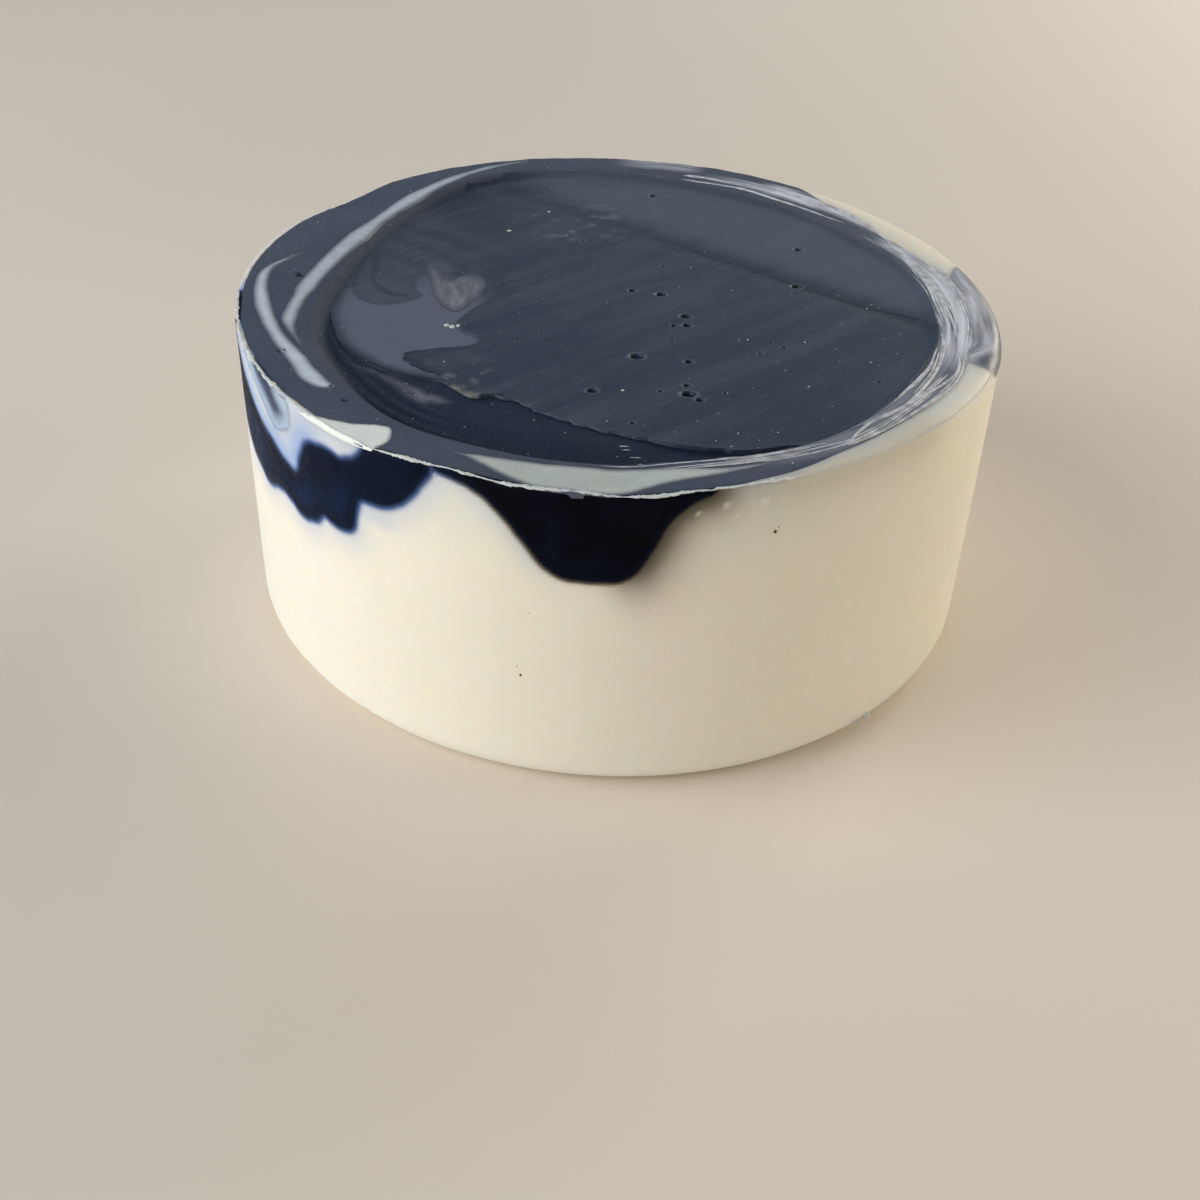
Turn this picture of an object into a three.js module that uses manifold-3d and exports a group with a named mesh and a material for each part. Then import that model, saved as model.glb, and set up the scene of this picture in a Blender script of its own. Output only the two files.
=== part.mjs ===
// A shaving soap puck: an ivory soap base with a charcoal soap layer poured over it and trowelled flat.
// Millimetres, +Z up. The origin is the centre of the flat bottom that the puck rests on.
// -Y is the front, where the longest charcoal run shows on the wall.
import * as THREE from 'three';
import { mergeVertices } from 'three/addons/utils/BufferGeometryUtils.js';
import Module from 'manifold-3d';

// Driving dimensions.
const PUCK_DIAMETER = 76;
const PUCK_HEIGHT = 32.3;
const FOOT_RADIUS = 2.7; // round between the bottom and the wall
const RIM_RADIUS = 0.5; // round between the wall and the top
const CHARCOAL_DEPTH = 4; // charcoal layer, down from the rim land
const RECESS_DEPTH = 1.6; // rim land down to the floor of the trowelled recess
const SKIN_THICKNESS = 0.6; // trowelled skins on the floor of the recess
const INLAY_DEPTH = 1.2; // ribbons, strands and ivory wedges, down from the rim land
const PATCH_DEPTH = 1.8; // dark patch on the right-hand rim
const RUN_DEPTH = 2.4; // charcoal runs under the layer, in from the wall
const FLASH_WIDTH = 0.7; // ragged edge left at the mould's lip
const FLASH_HEIGHT = 0.6;
const RIBBON_WIDTH = 1.2;
const STRAND_WIDTH = 0.5;
const GAP = 0.3; // clearance between neighbouring soaps
const PATTERN_RADIUS = 38; // puck radius at which the marks inside the recess are drawn

const ROUND_STEPS = 96; // facets round the puck
const CURVE_STEPS = 6; // facets between two points of a smooth outline
const OVERSHOOT = 1; // how far a cutter passes a free face

const radius = PUCK_DIAMETER / 2;
const top = PUCK_HEIGHT;
const charcoalFloor = top - CHARCOAL_DEPTH;
const recessFloor = top - RECESS_DEPTH;
const skinFloor = recessFloor + GAP;
const skinTop = skinFloor + SKIN_THICKNESS;
const runTop = FLASH_HEIGHT + GAP; // drop below the rim at which the runs start
const landInset = FLASH_WIDTH + GAP; // where the charcoal starts, in from the wall

// Edge of the charcoal layer as [angle in degrees, distance in from the wall]. It reaches the wall
// at the back, stops at the flash at the left and front, and leaves an ivory shoulder on the right.
const charcoalEdge = [
  [-50, 2.2], [-30, 3.6], [-10, 3.9], [8, 4.0], [24, 4.6], [40, 4.4], [50, 2.6], [58, 0],
  [66, -1.5], [85, -1.5], [105, -1.5], [124, -1.5], [133, 0], [141, landInset], [160, landInset],
  [180, landInset], [-160, landInset], [-140, landInset], [-120, landInset], [-100, landInset],
  [-80, landInset], [-64, landInset],
];

// Edge of the trowelled recess, as [angle, distance in from the wall].
const recessEdge = [
  [-170, 8.0], [-157, 7.0], [-145, 7.2], [-127, 5.4], [-112, 5.0], [-96, 4.9], [-80, 5.4],
  [-64, 4.6], [-50, 5.2], [-32, 6.6], [-15, 6.5], [2, 6.6], [18, 6.8], [34, 8.0], [50, 7.6],
  [64, 6.9], [82, 5.1], [104, 3.8], [119, 3.6], [131, 5.2], [145, 7.3], [161, 8.8], [176, 8.9],
];

// Runs of charcoal down the wall, as [angle, drop below the rim].
const frontRun = [
  [-108.5, runTop], [-105, 1.6], [-102.9, 3.0], [-100.3, 5.2], [-98.3, 7.0], [-96.4, 8.1],
  [-94.5, 8.7], [-91.3, 8.8], [-88.1, 8.4], [-86.4, 6.9], [-84.7, 4.4], [-83.4, 2.6], [-80.5, runTop],
];
const leftRun = [
  [-116, runTop], [-122, runTop], [-124.3, 2.0], [-130.4, 3.2], [-135.6, 4.6], [-138.6, 8.0],
  [-146, 7.0], [-155, 5.2], [-162, 3.4], [-165.5, runTop], [-171, runTop], [-171, 4.0],
  [-165, 7.4], [-157, 10.0], [-149.3, 11.1], [-141.5, 10.5], [-138.8, 11.0], [-134.7, 9.4],
  [-131.5, 9.7], [-127.9, 9.1], [-126.6, 7.0], [-125.6, 5.0], [-120.7, 4.0], [-117.4, 3.0],
];
const leftStain = [
  [-153, runTop], [-146, runTop], [-140, runTop], [-138.5, 2.4], [-142, 3.6], [-147, 3.5], [-151.5, 2.4],
];

// Ivory that stands in the charcoal rim land, as [angle, distance in from the wall].
const frontWedge = [
  [-111, 2.5], [-103, 3.1], [-91, 4.0], [-80, 3.8], [-69, 2.9], [-77, 1.9], [-86, 1.5], [-95, 1.4],
  [-104, 1.8],
];
const leftWedge = [[-136, 1.5], [-131, 2.6], [-127, 4.2], [-123.6, 3.6], [-121, 2.2], [-123, 1.5], [-129, 1.4]];

// Dark patch on the right-hand rim; its outer points lie past the wall.
const rimPatch = [
  [16, -1.5], [15, 1.2], [9, 2.4], [-1, 2.7], [-11, 2.8], [-18, 2.9], [-20.5, 1.4], [-19.5, -1.5],
  [-8, -1.5], [4, -1.5],
];

// Centrelines of the pale ribbons and strands, as [angle, distance in from the wall].
const innerRibbon = [
  [118, 1.9], [131, 4.0], [145, 6.1], [157, 7.3], [168, 7.4], [180, 6.9], [190.5, 6.1], [198, 5.1],
  [206, 5.2],
];
const outerRibbon = [
  [174.5, 3.4], [179, 2.2], [184.5, 2.4], [193.5, 3.1], [201, 3.3], [209, 3.6], [216, 3.4], [220, 4.2],
];
const strands = {
  strand_outer: [[-52, 3.9], [-38, 4.6], [-20, 4.9], [0, 4.9], [20, 5.4], [36, 5.6]],
  strand_inner: [[-44, 4.8], [-30, 5.6], [-14, 5.8], [2, 5.8], [18, 6.3], [30, 6.7]],
  strand_back: [[50, 4.9], [62, 4.4], [74, 3.6], [84, 2.9]],
};

// Marks inside the recess, in millimetres on a puck of PATTERN_RADIUS.
const nearSkin = [
  [-11.5, 9], [-11.8, 0], [-16, -6.8], [-13.8, -10.2], [-14.5, -11.5], [-17.8, -12], [-20, -13.5],
  [-18.1, -16.5], [-16.3, -17.7], [-10.9, -21.4], [-8.6, -22.2], [-6, -24.3], [-2.3, -26.3],
  [2.1, -27.8], [5.1, -28.9], [13, -30.2], [26, -34], [44, -14], [31.6, -3.5], [23.5, 2.7],
  [8.5, 13.8], [-7.2, 25], [-18, 33], [-24, 32], [-16, 20],
];
const farSkin = [[-30, 42], [-7.2, 25], [31.6, -3.5], [46, -15], [46, 46]];
const satinSkin = [
  [-18, 33], [-44, 30], [-44, -9], [-27, -10.4], [-23.4, -15], [-17.6, -18], [-12, -14], [-10, 0],
  [-10, 20],
];
const heartSmear = [[-19.6, 6.2], [-18.4, 3.6], [-17, 5.2], [-14.4, 4.4], [-13.6, 1.4], [-15.6, -2.2], [-18.6, -1.2]];
const edgeFlake = [[-16.2, -20.2], [-13.6, -20.6], [-11.6, -22.6], [-12.8, -23.2], [-15.2, -21.9]];

// Finishes: colour, roughness and metalness.
const finishes = {
  ivory: { color: 0xf0e8d0, roughness: 0.35, metalness: 0 },
  charcoal: { color: 0x3a404c, roughness: 0.55, metalness: 0 },
  skin: { color: 0x444c5a, roughness: 0.4, metalness: 0 },
  run: { color: 0x0a0c14, roughness: 0.3, metalness: 0 },
  stain: { color: 0x3c4a68, roughness: 0.35, metalness: 0 },
  smear: { color: 0x8a94a2, roughness: 0.45, metalness: 0 },
  flash: { color: 0xf4f4ee, roughness: 0.6, metalness: 0 },
};

const wasm = await Module();
wasm.setup();

// A three.js geometry as a solid that can be cut and joined.
function solidOf(geometry) {
  const bare = geometry.clone();
  bare.deleteAttribute('normal');
  bare.deleteAttribute('uv');
  const merged = mergeVertices(bare);
  return new wasm.Manifold(new wasm.Mesh({
    numProp: 3,
    vertProperties: new Float32Array(merged.attributes.position.array),
    triVerts: new Uint32Array(merged.index.array),
  }));
}

// A point on the top from its angle and its distance in from the wall.
function rimPoint([angle, inset]) {
  const turn = THREE.MathUtils.degToRad(angle);
  return new THREE.Vector2(Math.cos(turn), Math.sin(turn)).multiplyScalar(radius - inset);
}

function patternPoint([x, y]) {
  return new THREE.Vector2(x, y).multiplyScalar(radius / PATTERN_RADIUS);
}

// A closed smooth outline through the given points.
function smoothLoop(points) {
  const corners = points.map((point) => new THREE.Vector3(point.x, point.y, 0));
  const curve = new THREE.CatmullRomCurve3(corners, true, 'centripetal');
  const samples = curve.getPoints(points.length * CURVE_STEPS).slice(1);
  return samples.map((sample) => new THREE.Vector2(sample.x, sample.y));
}

// The outline moved outwards by a distance, or inwards by a negative one.
function offsetLoop(loop, distance) {
  const sharpest = 0.5;
  const outwards = THREE.ShapeUtils.area(loop) > 0 ? distance : -distance;
  return loop.map((point, index) => {
    const arriving = point.clone().sub(loop.at(index - 1)).normalize();
    const leaving = loop[(index + 1) % loop.length].clone().sub(point).normalize();
    const sideways = new THREE.Vector2(leaving.y, -leaving.x);
    const mitre = new THREE.Vector2(arriving.y, -arriving.x).add(sideways).normalize();
    return point.clone().addScaledVector(mitre, outwards / Math.max(mitre.dot(sideways), sharpest));
  });
}

// A tapering outline of the given width along a centreline.
function ribbonLoop(centreline, width) {
  const tipShare = 0.35;
  const curve = new THREE.SplineCurve(centreline.map(rimPoint));
  const steps = centreline.length * CURVE_STEPS;
  const leftSide = [];
  const rightSide = [];
  for (let step = 0; step <= steps; step += 1) {
    const along = step / steps;
    const middle = curve.getPoint(along);
    const tangent = curve.getTangent(along);
    const half = (width / 2) * Math.max(tipShare, Math.sqrt(Math.sin(Math.PI * along)));
    const sideways = new THREE.Vector2(-tangent.y, tangent.x).multiplyScalar(half);
    leftSide.push(middle.clone().add(sideways));
    rightSide.unshift(middle.clone().sub(sideways));
  }
  return [...leftSide, ...rightSide];
}

// A band along the wall between two angles and two distances in from it.
function bandLoop(fromAngle, toAngle, outerInset, innerInset) {
  const steps = Math.round((ROUND_STEPS * (toAngle - fromAngle)) / 360);
  const outer = [];
  const inner = [];
  for (let step = 0; step <= steps; step += 1) {
    const angle = fromAngle + ((toAngle - fromAngle) * step) / steps;
    outer.push(rimPoint([angle, outerInset]));
    inner.unshift(rimPoint([angle, innerInset]));
  }
  return [...outer, ...inner];
}

// An upright slab with the given outline.
function slab(loop, bottom, ceiling) {
  const shape = new THREE.Shape(loop);
  const geometry = new THREE.ExtrudeGeometry(shape, { depth: ceiling - bottom, bevelEnabled: false });
  return solidOf(geometry.translate(0, 0, bottom));
}

function disc(discRadius) {
  const geometry = new THREE.CylinderGeometry(discRadius, discRadius, 2 * top, ROUND_STEPS);
  return solidOf(geometry.rotateX(Math.PI / 2).translate(0, 0, top / 2));
}

// The puck's outer form: flat bottom, rounded foot, straight wall, softened rim.
function puckForm() {
  const roundSteps = 5;
  const profile = [new THREE.Vector2(0, 0)];
  for (let step = 0; step <= roundSteps; step += 1) {
    const turn = (Math.PI / 2) * (step / roundSteps);
    profile.push(new THREE.Vector2(
      radius - FOOT_RADIUS + FOOT_RADIUS * Math.sin(turn),
      FOOT_RADIUS - FOOT_RADIUS * Math.cos(turn),
    ));
  }
  profile.push(new THREE.Vector2(radius, top - RIM_RADIUS));
  profile.push(new THREE.Vector2(radius - RIM_RADIUS, top));
  profile.push(new THREE.Vector2(0, top));
  return solidOf(new THREE.LatheGeometry(profile, ROUND_STEPS).rotateX(Math.PI / 2));
}

// A slab pressed into the wall: its outline is drawn as [angle, drop below the rim].
function wallSlab(outline, depth, growth) {
  const angles = outline.map(([angle]) => angle);
  const middle = (Math.min(...angles) + Math.max(...angles)) / 2;
  const loop = smoothLoop(outline.map(([angle, drop]) => {
    const across = Math.sin(THREE.MathUtils.degToRad(angle - middle)) * radius;
    return new THREE.Vector2(across, top - drop);
  }));
  const shape = new THREE.Shape(offsetLoop(loop, growth));
  const geometry = new THREE.ExtrudeGeometry(shape, { depth: radius + OVERSHOOT, bevelEnabled: false });
  geometry.rotateX(Math.PI / 2).rotateZ(THREE.MathUtils.degToRad(middle + 90));
  return solidOf(geometry).subtract(disc(radius - depth - growth));
}

const parts = new THREE.Group();

function addPart(name, finish, solid) {
  const mesh = solid.getMesh();
  const geometry = new THREE.BufferGeometry();
  geometry.setAttribute('position', new THREE.BufferAttribute(mesh.vertProperties, 3));
  geometry.setIndex(new THREE.BufferAttribute(mesh.triVerts, 1));
  geometry.computeVertexNormals();
  const part = new THREE.Mesh(geometry, new THREE.MeshStandardMaterial(finishes[finish]));
  part.name = name;
  parts.add(part);
}

const form = puckForm();
const above = top + OVERSHOOT;

// The charcoal layer's outline, and the pocket that it fills in the ivory base.
const charcoalLoop = smoothLoop(charcoalEdge.map(rimPoint));
const charcoalPocket = slab(offsetLoop(charcoalLoop, GAP), charcoalFloor - GAP, above);
let ivory = form.subtract(charcoalPocket);
let charcoal = slab(charcoalLoop, charcoalFloor, above).intersect(form);

// The flash stands on the ivory lip along the left and the front.
const flashEnds = [-168, -56];
const flashLoop = bandLoop(...flashEnds, -OVERSHOOT, FLASH_WIDTH);
const flashPocket = slab(offsetLoop(flashLoop, GAP), top - runTop, above);
ivory = ivory.subtract(flashPocket);
addPart('rim_flash', 'flash', slab(flashLoop, top - FLASH_HEIGHT, above).intersect(form));

// The runs and the stain lie in the wall, outside the charcoal layer and under the flash.
const wallMarks = [
  { name: 'front_run', outline: frontRun, depth: RUN_DEPTH, finish: 'run' },
  { name: 'left_run', outline: leftRun, depth: RUN_DEPTH, finish: 'run' },
  { name: 'left_stain', outline: leftStain, depth: FLASH_WIDTH, finish: 'stain' },
];
const wallRoom = form.subtract(charcoalPocket).subtract(flashPocket);
for (const { name, outline, depth, finish } of wallMarks) {
  ivory = ivory.subtract(wallSlab(outline, depth, GAP));
  addPart(name, finish, wallSlab(outline, depth, 0).intersect(wallRoom));
}

// The dark patch sits in the ivory shoulder on the right.
const patchLoop = smoothLoop(rimPatch.map(rimPoint));
ivory = ivory.subtract(slab(offsetLoop(patchLoop, GAP), top - PATCH_DEPTH - GAP, above));
addPart('right_rim_patch', 'charcoal', slab(patchLoop, top - PATCH_DEPTH, above).intersect(form));
addPart('ivory_base', 'ivory', ivory);

// The wedges, ribbons and strands are let into the charcoal rim land.
const inlays = [
  { name: 'front_ivory_wedge', finish: 'ivory', loop: smoothLoop(frontWedge.map(rimPoint)) },
  { name: 'left_ivory_wedge', finish: 'ivory', loop: smoothLoop(leftWedge.map(rimPoint)) },
  { name: 'inner_ribbon', finish: 'smear', loop: ribbonLoop(innerRibbon, RIBBON_WIDTH) },
  { name: 'outer_ribbon', finish: 'smear', loop: ribbonLoop(outerRibbon, RIBBON_WIDTH) },
];
for (const [name, centreline] of Object.entries(strands)) {
  inlays.push({ name, finish: 'smear', loop: ribbonLoop(centreline, STRAND_WIDTH) });
}
for (const { name, finish, loop } of inlays) {
  charcoal = charcoal.subtract(slab(offsetLoop(loop, GAP), top - INLAY_DEPTH - GAP, above));
  addPart(name, finish, slab(loop, top - INLAY_DEPTH, above).intersect(form));
}

// The recess, and the thin trowelled skins that lie in it.
const recessLoop = smoothLoop(recessEdge.map(rimPoint));
addPart('charcoal_layer', 'charcoal', charcoal.subtract(slab(recessLoop, recessFloor, above)));

const recessRoom = slab(offsetLoop(recessLoop, -GAP), skinFloor, skinTop);
const nearLoop = nearSkin.map(patternPoint);
const heartLoop = smoothLoop(heartSmear.map(patternPoint));
const flakeLoop = smoothLoop(edgeFlake.map(patternPoint));
const skinSlab = (loop, growth) => slab(offsetLoop(loop, growth), skinFloor, skinTop);
const nearRoom = skinSlab(nearLoop, GAP);
const farPlate = skinSlab(farSkin.map(patternPoint), 0).intersect(recessRoom);
const satinPlate = skinSlab(satinSkin.map(patternPoint), 0).intersect(recessRoom);
addPart('near_skin', 'skin', skinSlab(nearLoop, 0).intersect(recessRoom).subtract(skinSlab(flakeLoop, GAP)));
addPart('far_skin', 'skin', farPlate.subtract(nearRoom));
addPart('satin_skin', 'skin', satinPlate.subtract(nearRoom).subtract(skinSlab(heartLoop, GAP)));
addPart('heart_smear', 'smear', skinSlab(heartLoop, 0));
addPart('edge_flake', 'smear', skinSlab(flakeLoop, 0));

export default parts;
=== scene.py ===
"""Looks of a hand-poured shaving soap puck: ivory soap with a trowelled charcoal layer in its top.

Shapes are worked out in millimetres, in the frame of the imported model: +Z up, the origin at the centre
of the bottom, -Y the front. A place on the top or the wall is an angle in degrees from +X, with a
distance in from the wall (inset) or down from the rim (drop).
"""
import math

import bpy
import numpy as np
from mathutils import Matrix, Vector
from mathutils.geometry import delaunay_2d_cdt
from mathutils.kdtree import KDTree


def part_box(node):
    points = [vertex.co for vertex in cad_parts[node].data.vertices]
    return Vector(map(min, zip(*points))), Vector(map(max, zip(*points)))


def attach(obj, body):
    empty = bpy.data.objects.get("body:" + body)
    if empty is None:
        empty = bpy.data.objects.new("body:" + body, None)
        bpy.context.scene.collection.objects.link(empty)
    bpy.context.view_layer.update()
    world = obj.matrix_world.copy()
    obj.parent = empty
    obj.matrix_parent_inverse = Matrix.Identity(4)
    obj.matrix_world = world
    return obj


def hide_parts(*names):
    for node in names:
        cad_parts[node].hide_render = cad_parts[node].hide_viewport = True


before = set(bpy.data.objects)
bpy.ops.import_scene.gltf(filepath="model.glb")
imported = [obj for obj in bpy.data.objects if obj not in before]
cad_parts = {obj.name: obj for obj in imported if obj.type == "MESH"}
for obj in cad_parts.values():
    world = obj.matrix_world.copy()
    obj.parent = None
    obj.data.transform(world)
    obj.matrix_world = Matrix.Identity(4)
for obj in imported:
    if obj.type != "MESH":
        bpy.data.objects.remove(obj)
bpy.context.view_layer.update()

MM = 0.001
low_corner, high_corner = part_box("ivory_base")
RADIUS = (high_corner[0] - low_corner[0]) / 2 / MM
HEIGHT = high_corner[2] / MM
FOOT = 2.7
LAYER_DEPTH = 4.0

# ---------------------------------------------------------------- outlines and heights

# Height of the rim above or below HEIGHT, as [angle, rise].
RIM_RISE = [
    (-170, 0.25), (-150, 0.05), (-136, -0.1), (-122, -0.4), (-111, 0.05), (-101, -0.3), (-94, -0.15),
    (-89, -0.65), (-83, -0.05), (-76, 0.2), (-68, 0.35), (-49, 0.4), (-36, 0.3), (-20, -0.15),
    (-5, -0.3), (13, -0.4), (38, -0.35), (64, -0.1), (87, 0.0), (104, 0.2), (124, 0.3), (136, 0.2),
    (145, -0.25), (158, 0.3), (178, 0.4),
]
# Width of the round between top and wall.
RIM_ROUND = [(-170, 0.35), (-120, 0.3), (-80, 0.35), (-62, 0.9), (-40, 1.5), (0, 1.3), (45, 1.2), (75, 0.6),
             (130, 0.5), (165, 0.4)]
# Edge of the charcoal layer, as inset; below zero it runs over the rim and down the wall.
CHARCOAL_EDGE = [
    (-170, 0.35), (-150, 0.3), (-120, 0.3), (-90, 0.3), (-74, 0.35), (-66, 0.9), (-58, 2.0), (-46, 2.6),
    (-32, 2.6), (-20, 2.7), (-8, 2.6), (8, 2.6), (18, 3.4), (34, 4.1), (44, 3.3), (51, 1.8), (57, 0.2),
    (63, -2.2), (72, -3.4), (80, -2.4), (88, -4.8), (95, -6.6), (101, -5.4), (108, -2.6), (117, -2.0),
    (126, -3.4), (132, -1.6), (138, 0.25), (150, 0.3), (175, 0.35),
]
# Edge of the recess, as inset, the width of the slope down from it, and its depth beside the skins.
RECESS_EDGE = [
    (-170, 7.4), (-157, 6.1), (-145, 5.9), (-132, 4.8), (-123, 4.5), (-112, 4.5), (-96, 4.6), (-80, 5.1),
    (-64, 4.5), (-50, 5.0), (-32, 6.2), (-15, 6.0), (2, 6.2), (18, 6.4), (34, 7.6), (50, 7.2), (64, 6.6),
    (82, 4.9), (104, 3.6), (119, 3.4), (131, 5.0), (145, 7.0), (161, 8.3), (176, 8.5),
]
RECESS_SLOPE = [(-170, 2.2), (-140, 1.7), (-100, 1.1), (-60, 1.0), (-20, 1.4), (40, 2.2), (90, 2.4),
                (130, 2.2), (165, 2.6)]
RECESS_DEPTH = [(-170, 1.2), (-140, 1.3), (-90, 1.25), (-60, 0.9), (-20, 0.5), (40, 0.4), (90, 0.4),
                (112, 0.55), (135, 1.0), (165, 1.15)]
# Ridges that the trowel left at the lower left of the recess.
TERRACE_SPACING, TERRACE_HEIGHT = 1.25, 0.055
# Angles between which the white edge runs.
FLASH_SPAN = (-174.0, -14.0)

# Runs of charcoal down the wall, as [angle, drop].
FRONT_RUN = [
    (-112, -0.4), (-109, 0.5), (-106, 1.4), (-103.4, 2.9), (-100.9, 5.0), (-98.6, 6.9), (-96.4, 8.0),
    (-94.2, 8.2), (-91.3, 8.1), (-88.6, 7.9), (-86.8, 6.9), (-85.2, 5.0), (-83.9, 3.2), (-82.4, 1.8),
    (-80.4, 0.7), (-78.4, -0.2), (-90, -0.6),
]
LEFT_RUN = [
    (-114.6, -0.3), (-122, -0.3), (-124.3, 1.6), (-127.4, 2.9), (-132, 3.1), (-135.6, 3.9), (-137.2, 6.2),
    (-139.4, 7.9), (-144, 7.2), (-150, 6.0), (-157, 4.2), (-162, 2.2), (-166, -0.3), (-173, -0.3),
    (-172, 4.2), (-167, 7.4), (-160, 9.6), (-153, 10.6), (-148.5, 11.2), (-145, 10.2), (-141.5, 10.3),
    (-138.5, 11.0), (-135.6, 10.6), (-133.2, 9.3), (-129.9, 9.6), (-127.5, 8.9), (-126.9, 6.9),
    (-125.2, 5.2), (-121.6, 4.9), (-118.6, 3.9), (-116.4, 2.2),
]
LEFT_STAIN = [(-157, -0.3), (-142, -0.3), (-139.4, 1.6), (-140.6, 3.6), (-144.5, 4.6), (-147.6, 3.4),
              (-151, 2.2)]

# Marks in the rim land, as [angle, inset].
FRONT_WEDGE = [
    (-113.5, 2.9), (-110, 3.4), (-105, 3.9), (-99, 4.1), (-91, 4.3), (-82, 4.3), (-75, 3.5), (-67, 2.9),
    (-74, 2.3), (-81, 1.9), (-86, 1.1), (-90, 0.2), (-95, 0.1), (-99.5, 0.15), (-102, 0.6), (-105.5, 1.4),
    (-109.5, 2.3),
]
LEFT_WEDGE = [(-138.5, -0.5), (-136.0, -0.1), (-133.0, 0.7), (-129.4, 1.9), (-126.4, 3.2), (-124.2, 3.6),
              (-122.4, 2.6), (-121.8, 1.2), (-122.4, 0.0), (-123.0, -0.4), (-130.0, -0.7)]
RIM_PATCH = [
    (18.0, -1.2), (16.6, 1.0), (12.5, 2.6), (4.0, 3.1), (-5.0, 3.2), (-13.0, 3.2), (-17.6, 3.4), (-20.2, 2.4),
    (-21.2, 0.6), (-20.6, -0.8), (-17.0, -1.2), (-9.0, -1.9), (4.0, -1.6), (12.0, -1.4),
]
# Ribbons in the rim land, as [angle, inset, width].
INNER_RIBBON = [(108, 1.0, 0.7), (117, 2.1, 1.3), (127, 3.8, 1.7), (139, 5.7, 2.1), (150, 7.1, 2.3),
                (161, 7.7, 2.4), (171, 7.6, 2.3), (181, 6.9, 2.1), (190, 5.9, 1.9), (196, 5.1, 1.5),
                (201, 5.0, 0.9), (207, 5.2, 0.3)]
OUTER_RIBBON = [(168, 4.9, 0.2), (172, 3.7, 0.6), (177.5, 2.3, 1.1), (183, 2.2, 1.7), (190, 2.7, 1.9),
                (197, 3.2, 1.7), (203.5, 3.6, 1.8), (210, 4.0, 2.1), (215, 3.8, 2.3), (219, 3.9, 2.0),
                (221.5, 4.5, 1.0)]

# Scraped strands beside the trowelled skin, as a width and a line of [angle, inset].
OUTER_STRANDS = [
    (0.34, [(-17, 4.0), (-23, 3.5), (-27, 3.5), (-33, 4.0), (-38, 4.0), (-42, 3.9), (-46, 3.6), (-52, 3.3),
            (-55, 3.1), (-60, 3.1), (-68, 3.3)]),
    (0.55, [(-20, 3.3), (-26, 3.0), (-32, 3.0), (-38, 3.05), (-46, 2.95), (-53, 2.85), (-56, 2.8)]),
    (0.42, [(-26, 4.1), (-30, 4.25), (-36, 4.35), (-41, 4.4), (-45, 4.5), (-48, 4.6), (-52, 4.1), (-55, 3.2)]),
    (0.20, [(-53, 3.2), (-58, 3.6), (-63, 3.8), (-69, 4.0), (-77, 4.2), (-86, 4.1)]),
    (0.16, [(-58, 4.0), (-63, 4.4), (-70, 4.6), (-79, 4.8), (-92, 4.6)]),
    (0.12, [(-62, 3.4), (-70, 3.6), (-80, 3.9)]),
]
INNER_STRANDS = [
    (0.85, [(31, 9.2), (28, 9.1), (24, 8.6), (19.7, 8.2), (16.6, 7.4), (12, 7.0), (6.4, 6.9), (1, 6.9),
            (-3.5, 6.6), (-8.3, 6.1)]),
    (0.30, [(-11, 6.1), (-16, 5.7), (-21, 5.35), (-27, 5.1), (-32, 4.95), (-37, 4.7), (-42, 4.6)]),
    (0.24, [(-17, 6.2), (-24, 5.95), (-28, 6.0), (-32, 6.0), (-36, 5.9), (-40, 5.7)]),
    (0.70, [(33, 6.5), (29, 6.3), (25, 5.8), (21, 5.6), (15, 5.8), (8, 6.1), (0, 6.2), (-6, 6.0)]),
    (0.14, [(-61, 4.9), (-65, 5.1), (-69, 5.2), (-75, 5.0)]),
]
BACK_STRANDS = [
    (0.95, [(25, 4.8), (20, 5.0), (15, 5.3), (10, 5.3), (3.5, 5.3), (-1, 5.2), (-5, 5.0), (-10, 4.65),
            (-15, 4.3)]),
    (1.10, [(26, 4.1), (20, 4.0), (15, 3.5), (8, 3.5), (1.6, 3.4), (-5, 3.4), (-12, 3.6)]),
    (0.90, [(63, 3.6), (58, 3.2), (53, 3.5), (48, 3.3), (42, 3.6), (36, 4.0), (30, 4.6), (25, 5.0)]),
    (0.26, [(100, 4.4), (90, 5.2), (82, 5.6), (72, 5.6), (64, 5.5), (58, 6.1), (52, 6.3), (45, 6.2), (40, 5.8)]),
    (0.45, [(78, 4.3), (74, 4.0), (69, 4.1), (65, 4.2)]),
]

# Marks inside the recess, as [x, y].
SKIN_EDGE = [
    (-11.9, 1.6), (-13.4, -1.2), (-16.0, -6.6), (-13.6, -9.9), (-14.4, -11.4), (-17.6, -12.1),
    (-20.4, -13.4), (-18.4, -16.4), (-16.2, -17.7), (-13.6, -19.4), (-10.9, -21.2), (-8.6, -22.3),
    (-6.0, -24.3), (-2.3, -26.3), (2.1, -27.8), (6.0, -28.9), (10.8, -29.3), (14.6, -28.4),
]
CREASE = [(-15.0, 29.6), (-7.2, 23.6), (8.5, 11.9), (23.5, 0.8), (31.4, -3.2)]
SATIN_EDGE = [(-13.4, -19.6), (-16.2, -18.4), (-19.8, -17.6), (-23.0, -15.6), (-26.2, -12.2), (-27.6, -9.0)]
HEART = [(-20.3, 6.2), (-19.6, 6.9), (-18.6, 5.0), (-17.6, 3.4), (-16.6, 4.6), (-15.4, 4.9), (-14.2, 4.3),
         (-13.6, 2.6), (-13.9, 0.4), (-14.7, -2.2), (-16.0, -4.3), (-17.3, -3.7), (-18.6, -1.4), (-19.6, 2.0)]
HOOK_POOL = [(-27.7, 6.0), (-27.6, 2.0), (-27.0, -0.8), (-25.6, -2.6), (-23.9, -3.3), (-21.8, -2.7),
             (-19.8, -1.0), (-20.6, 1.2), (-21.2, 4.0), (-22.4, 7.0), (-24.5, 9.6), (-26.6, 9.0)]
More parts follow.
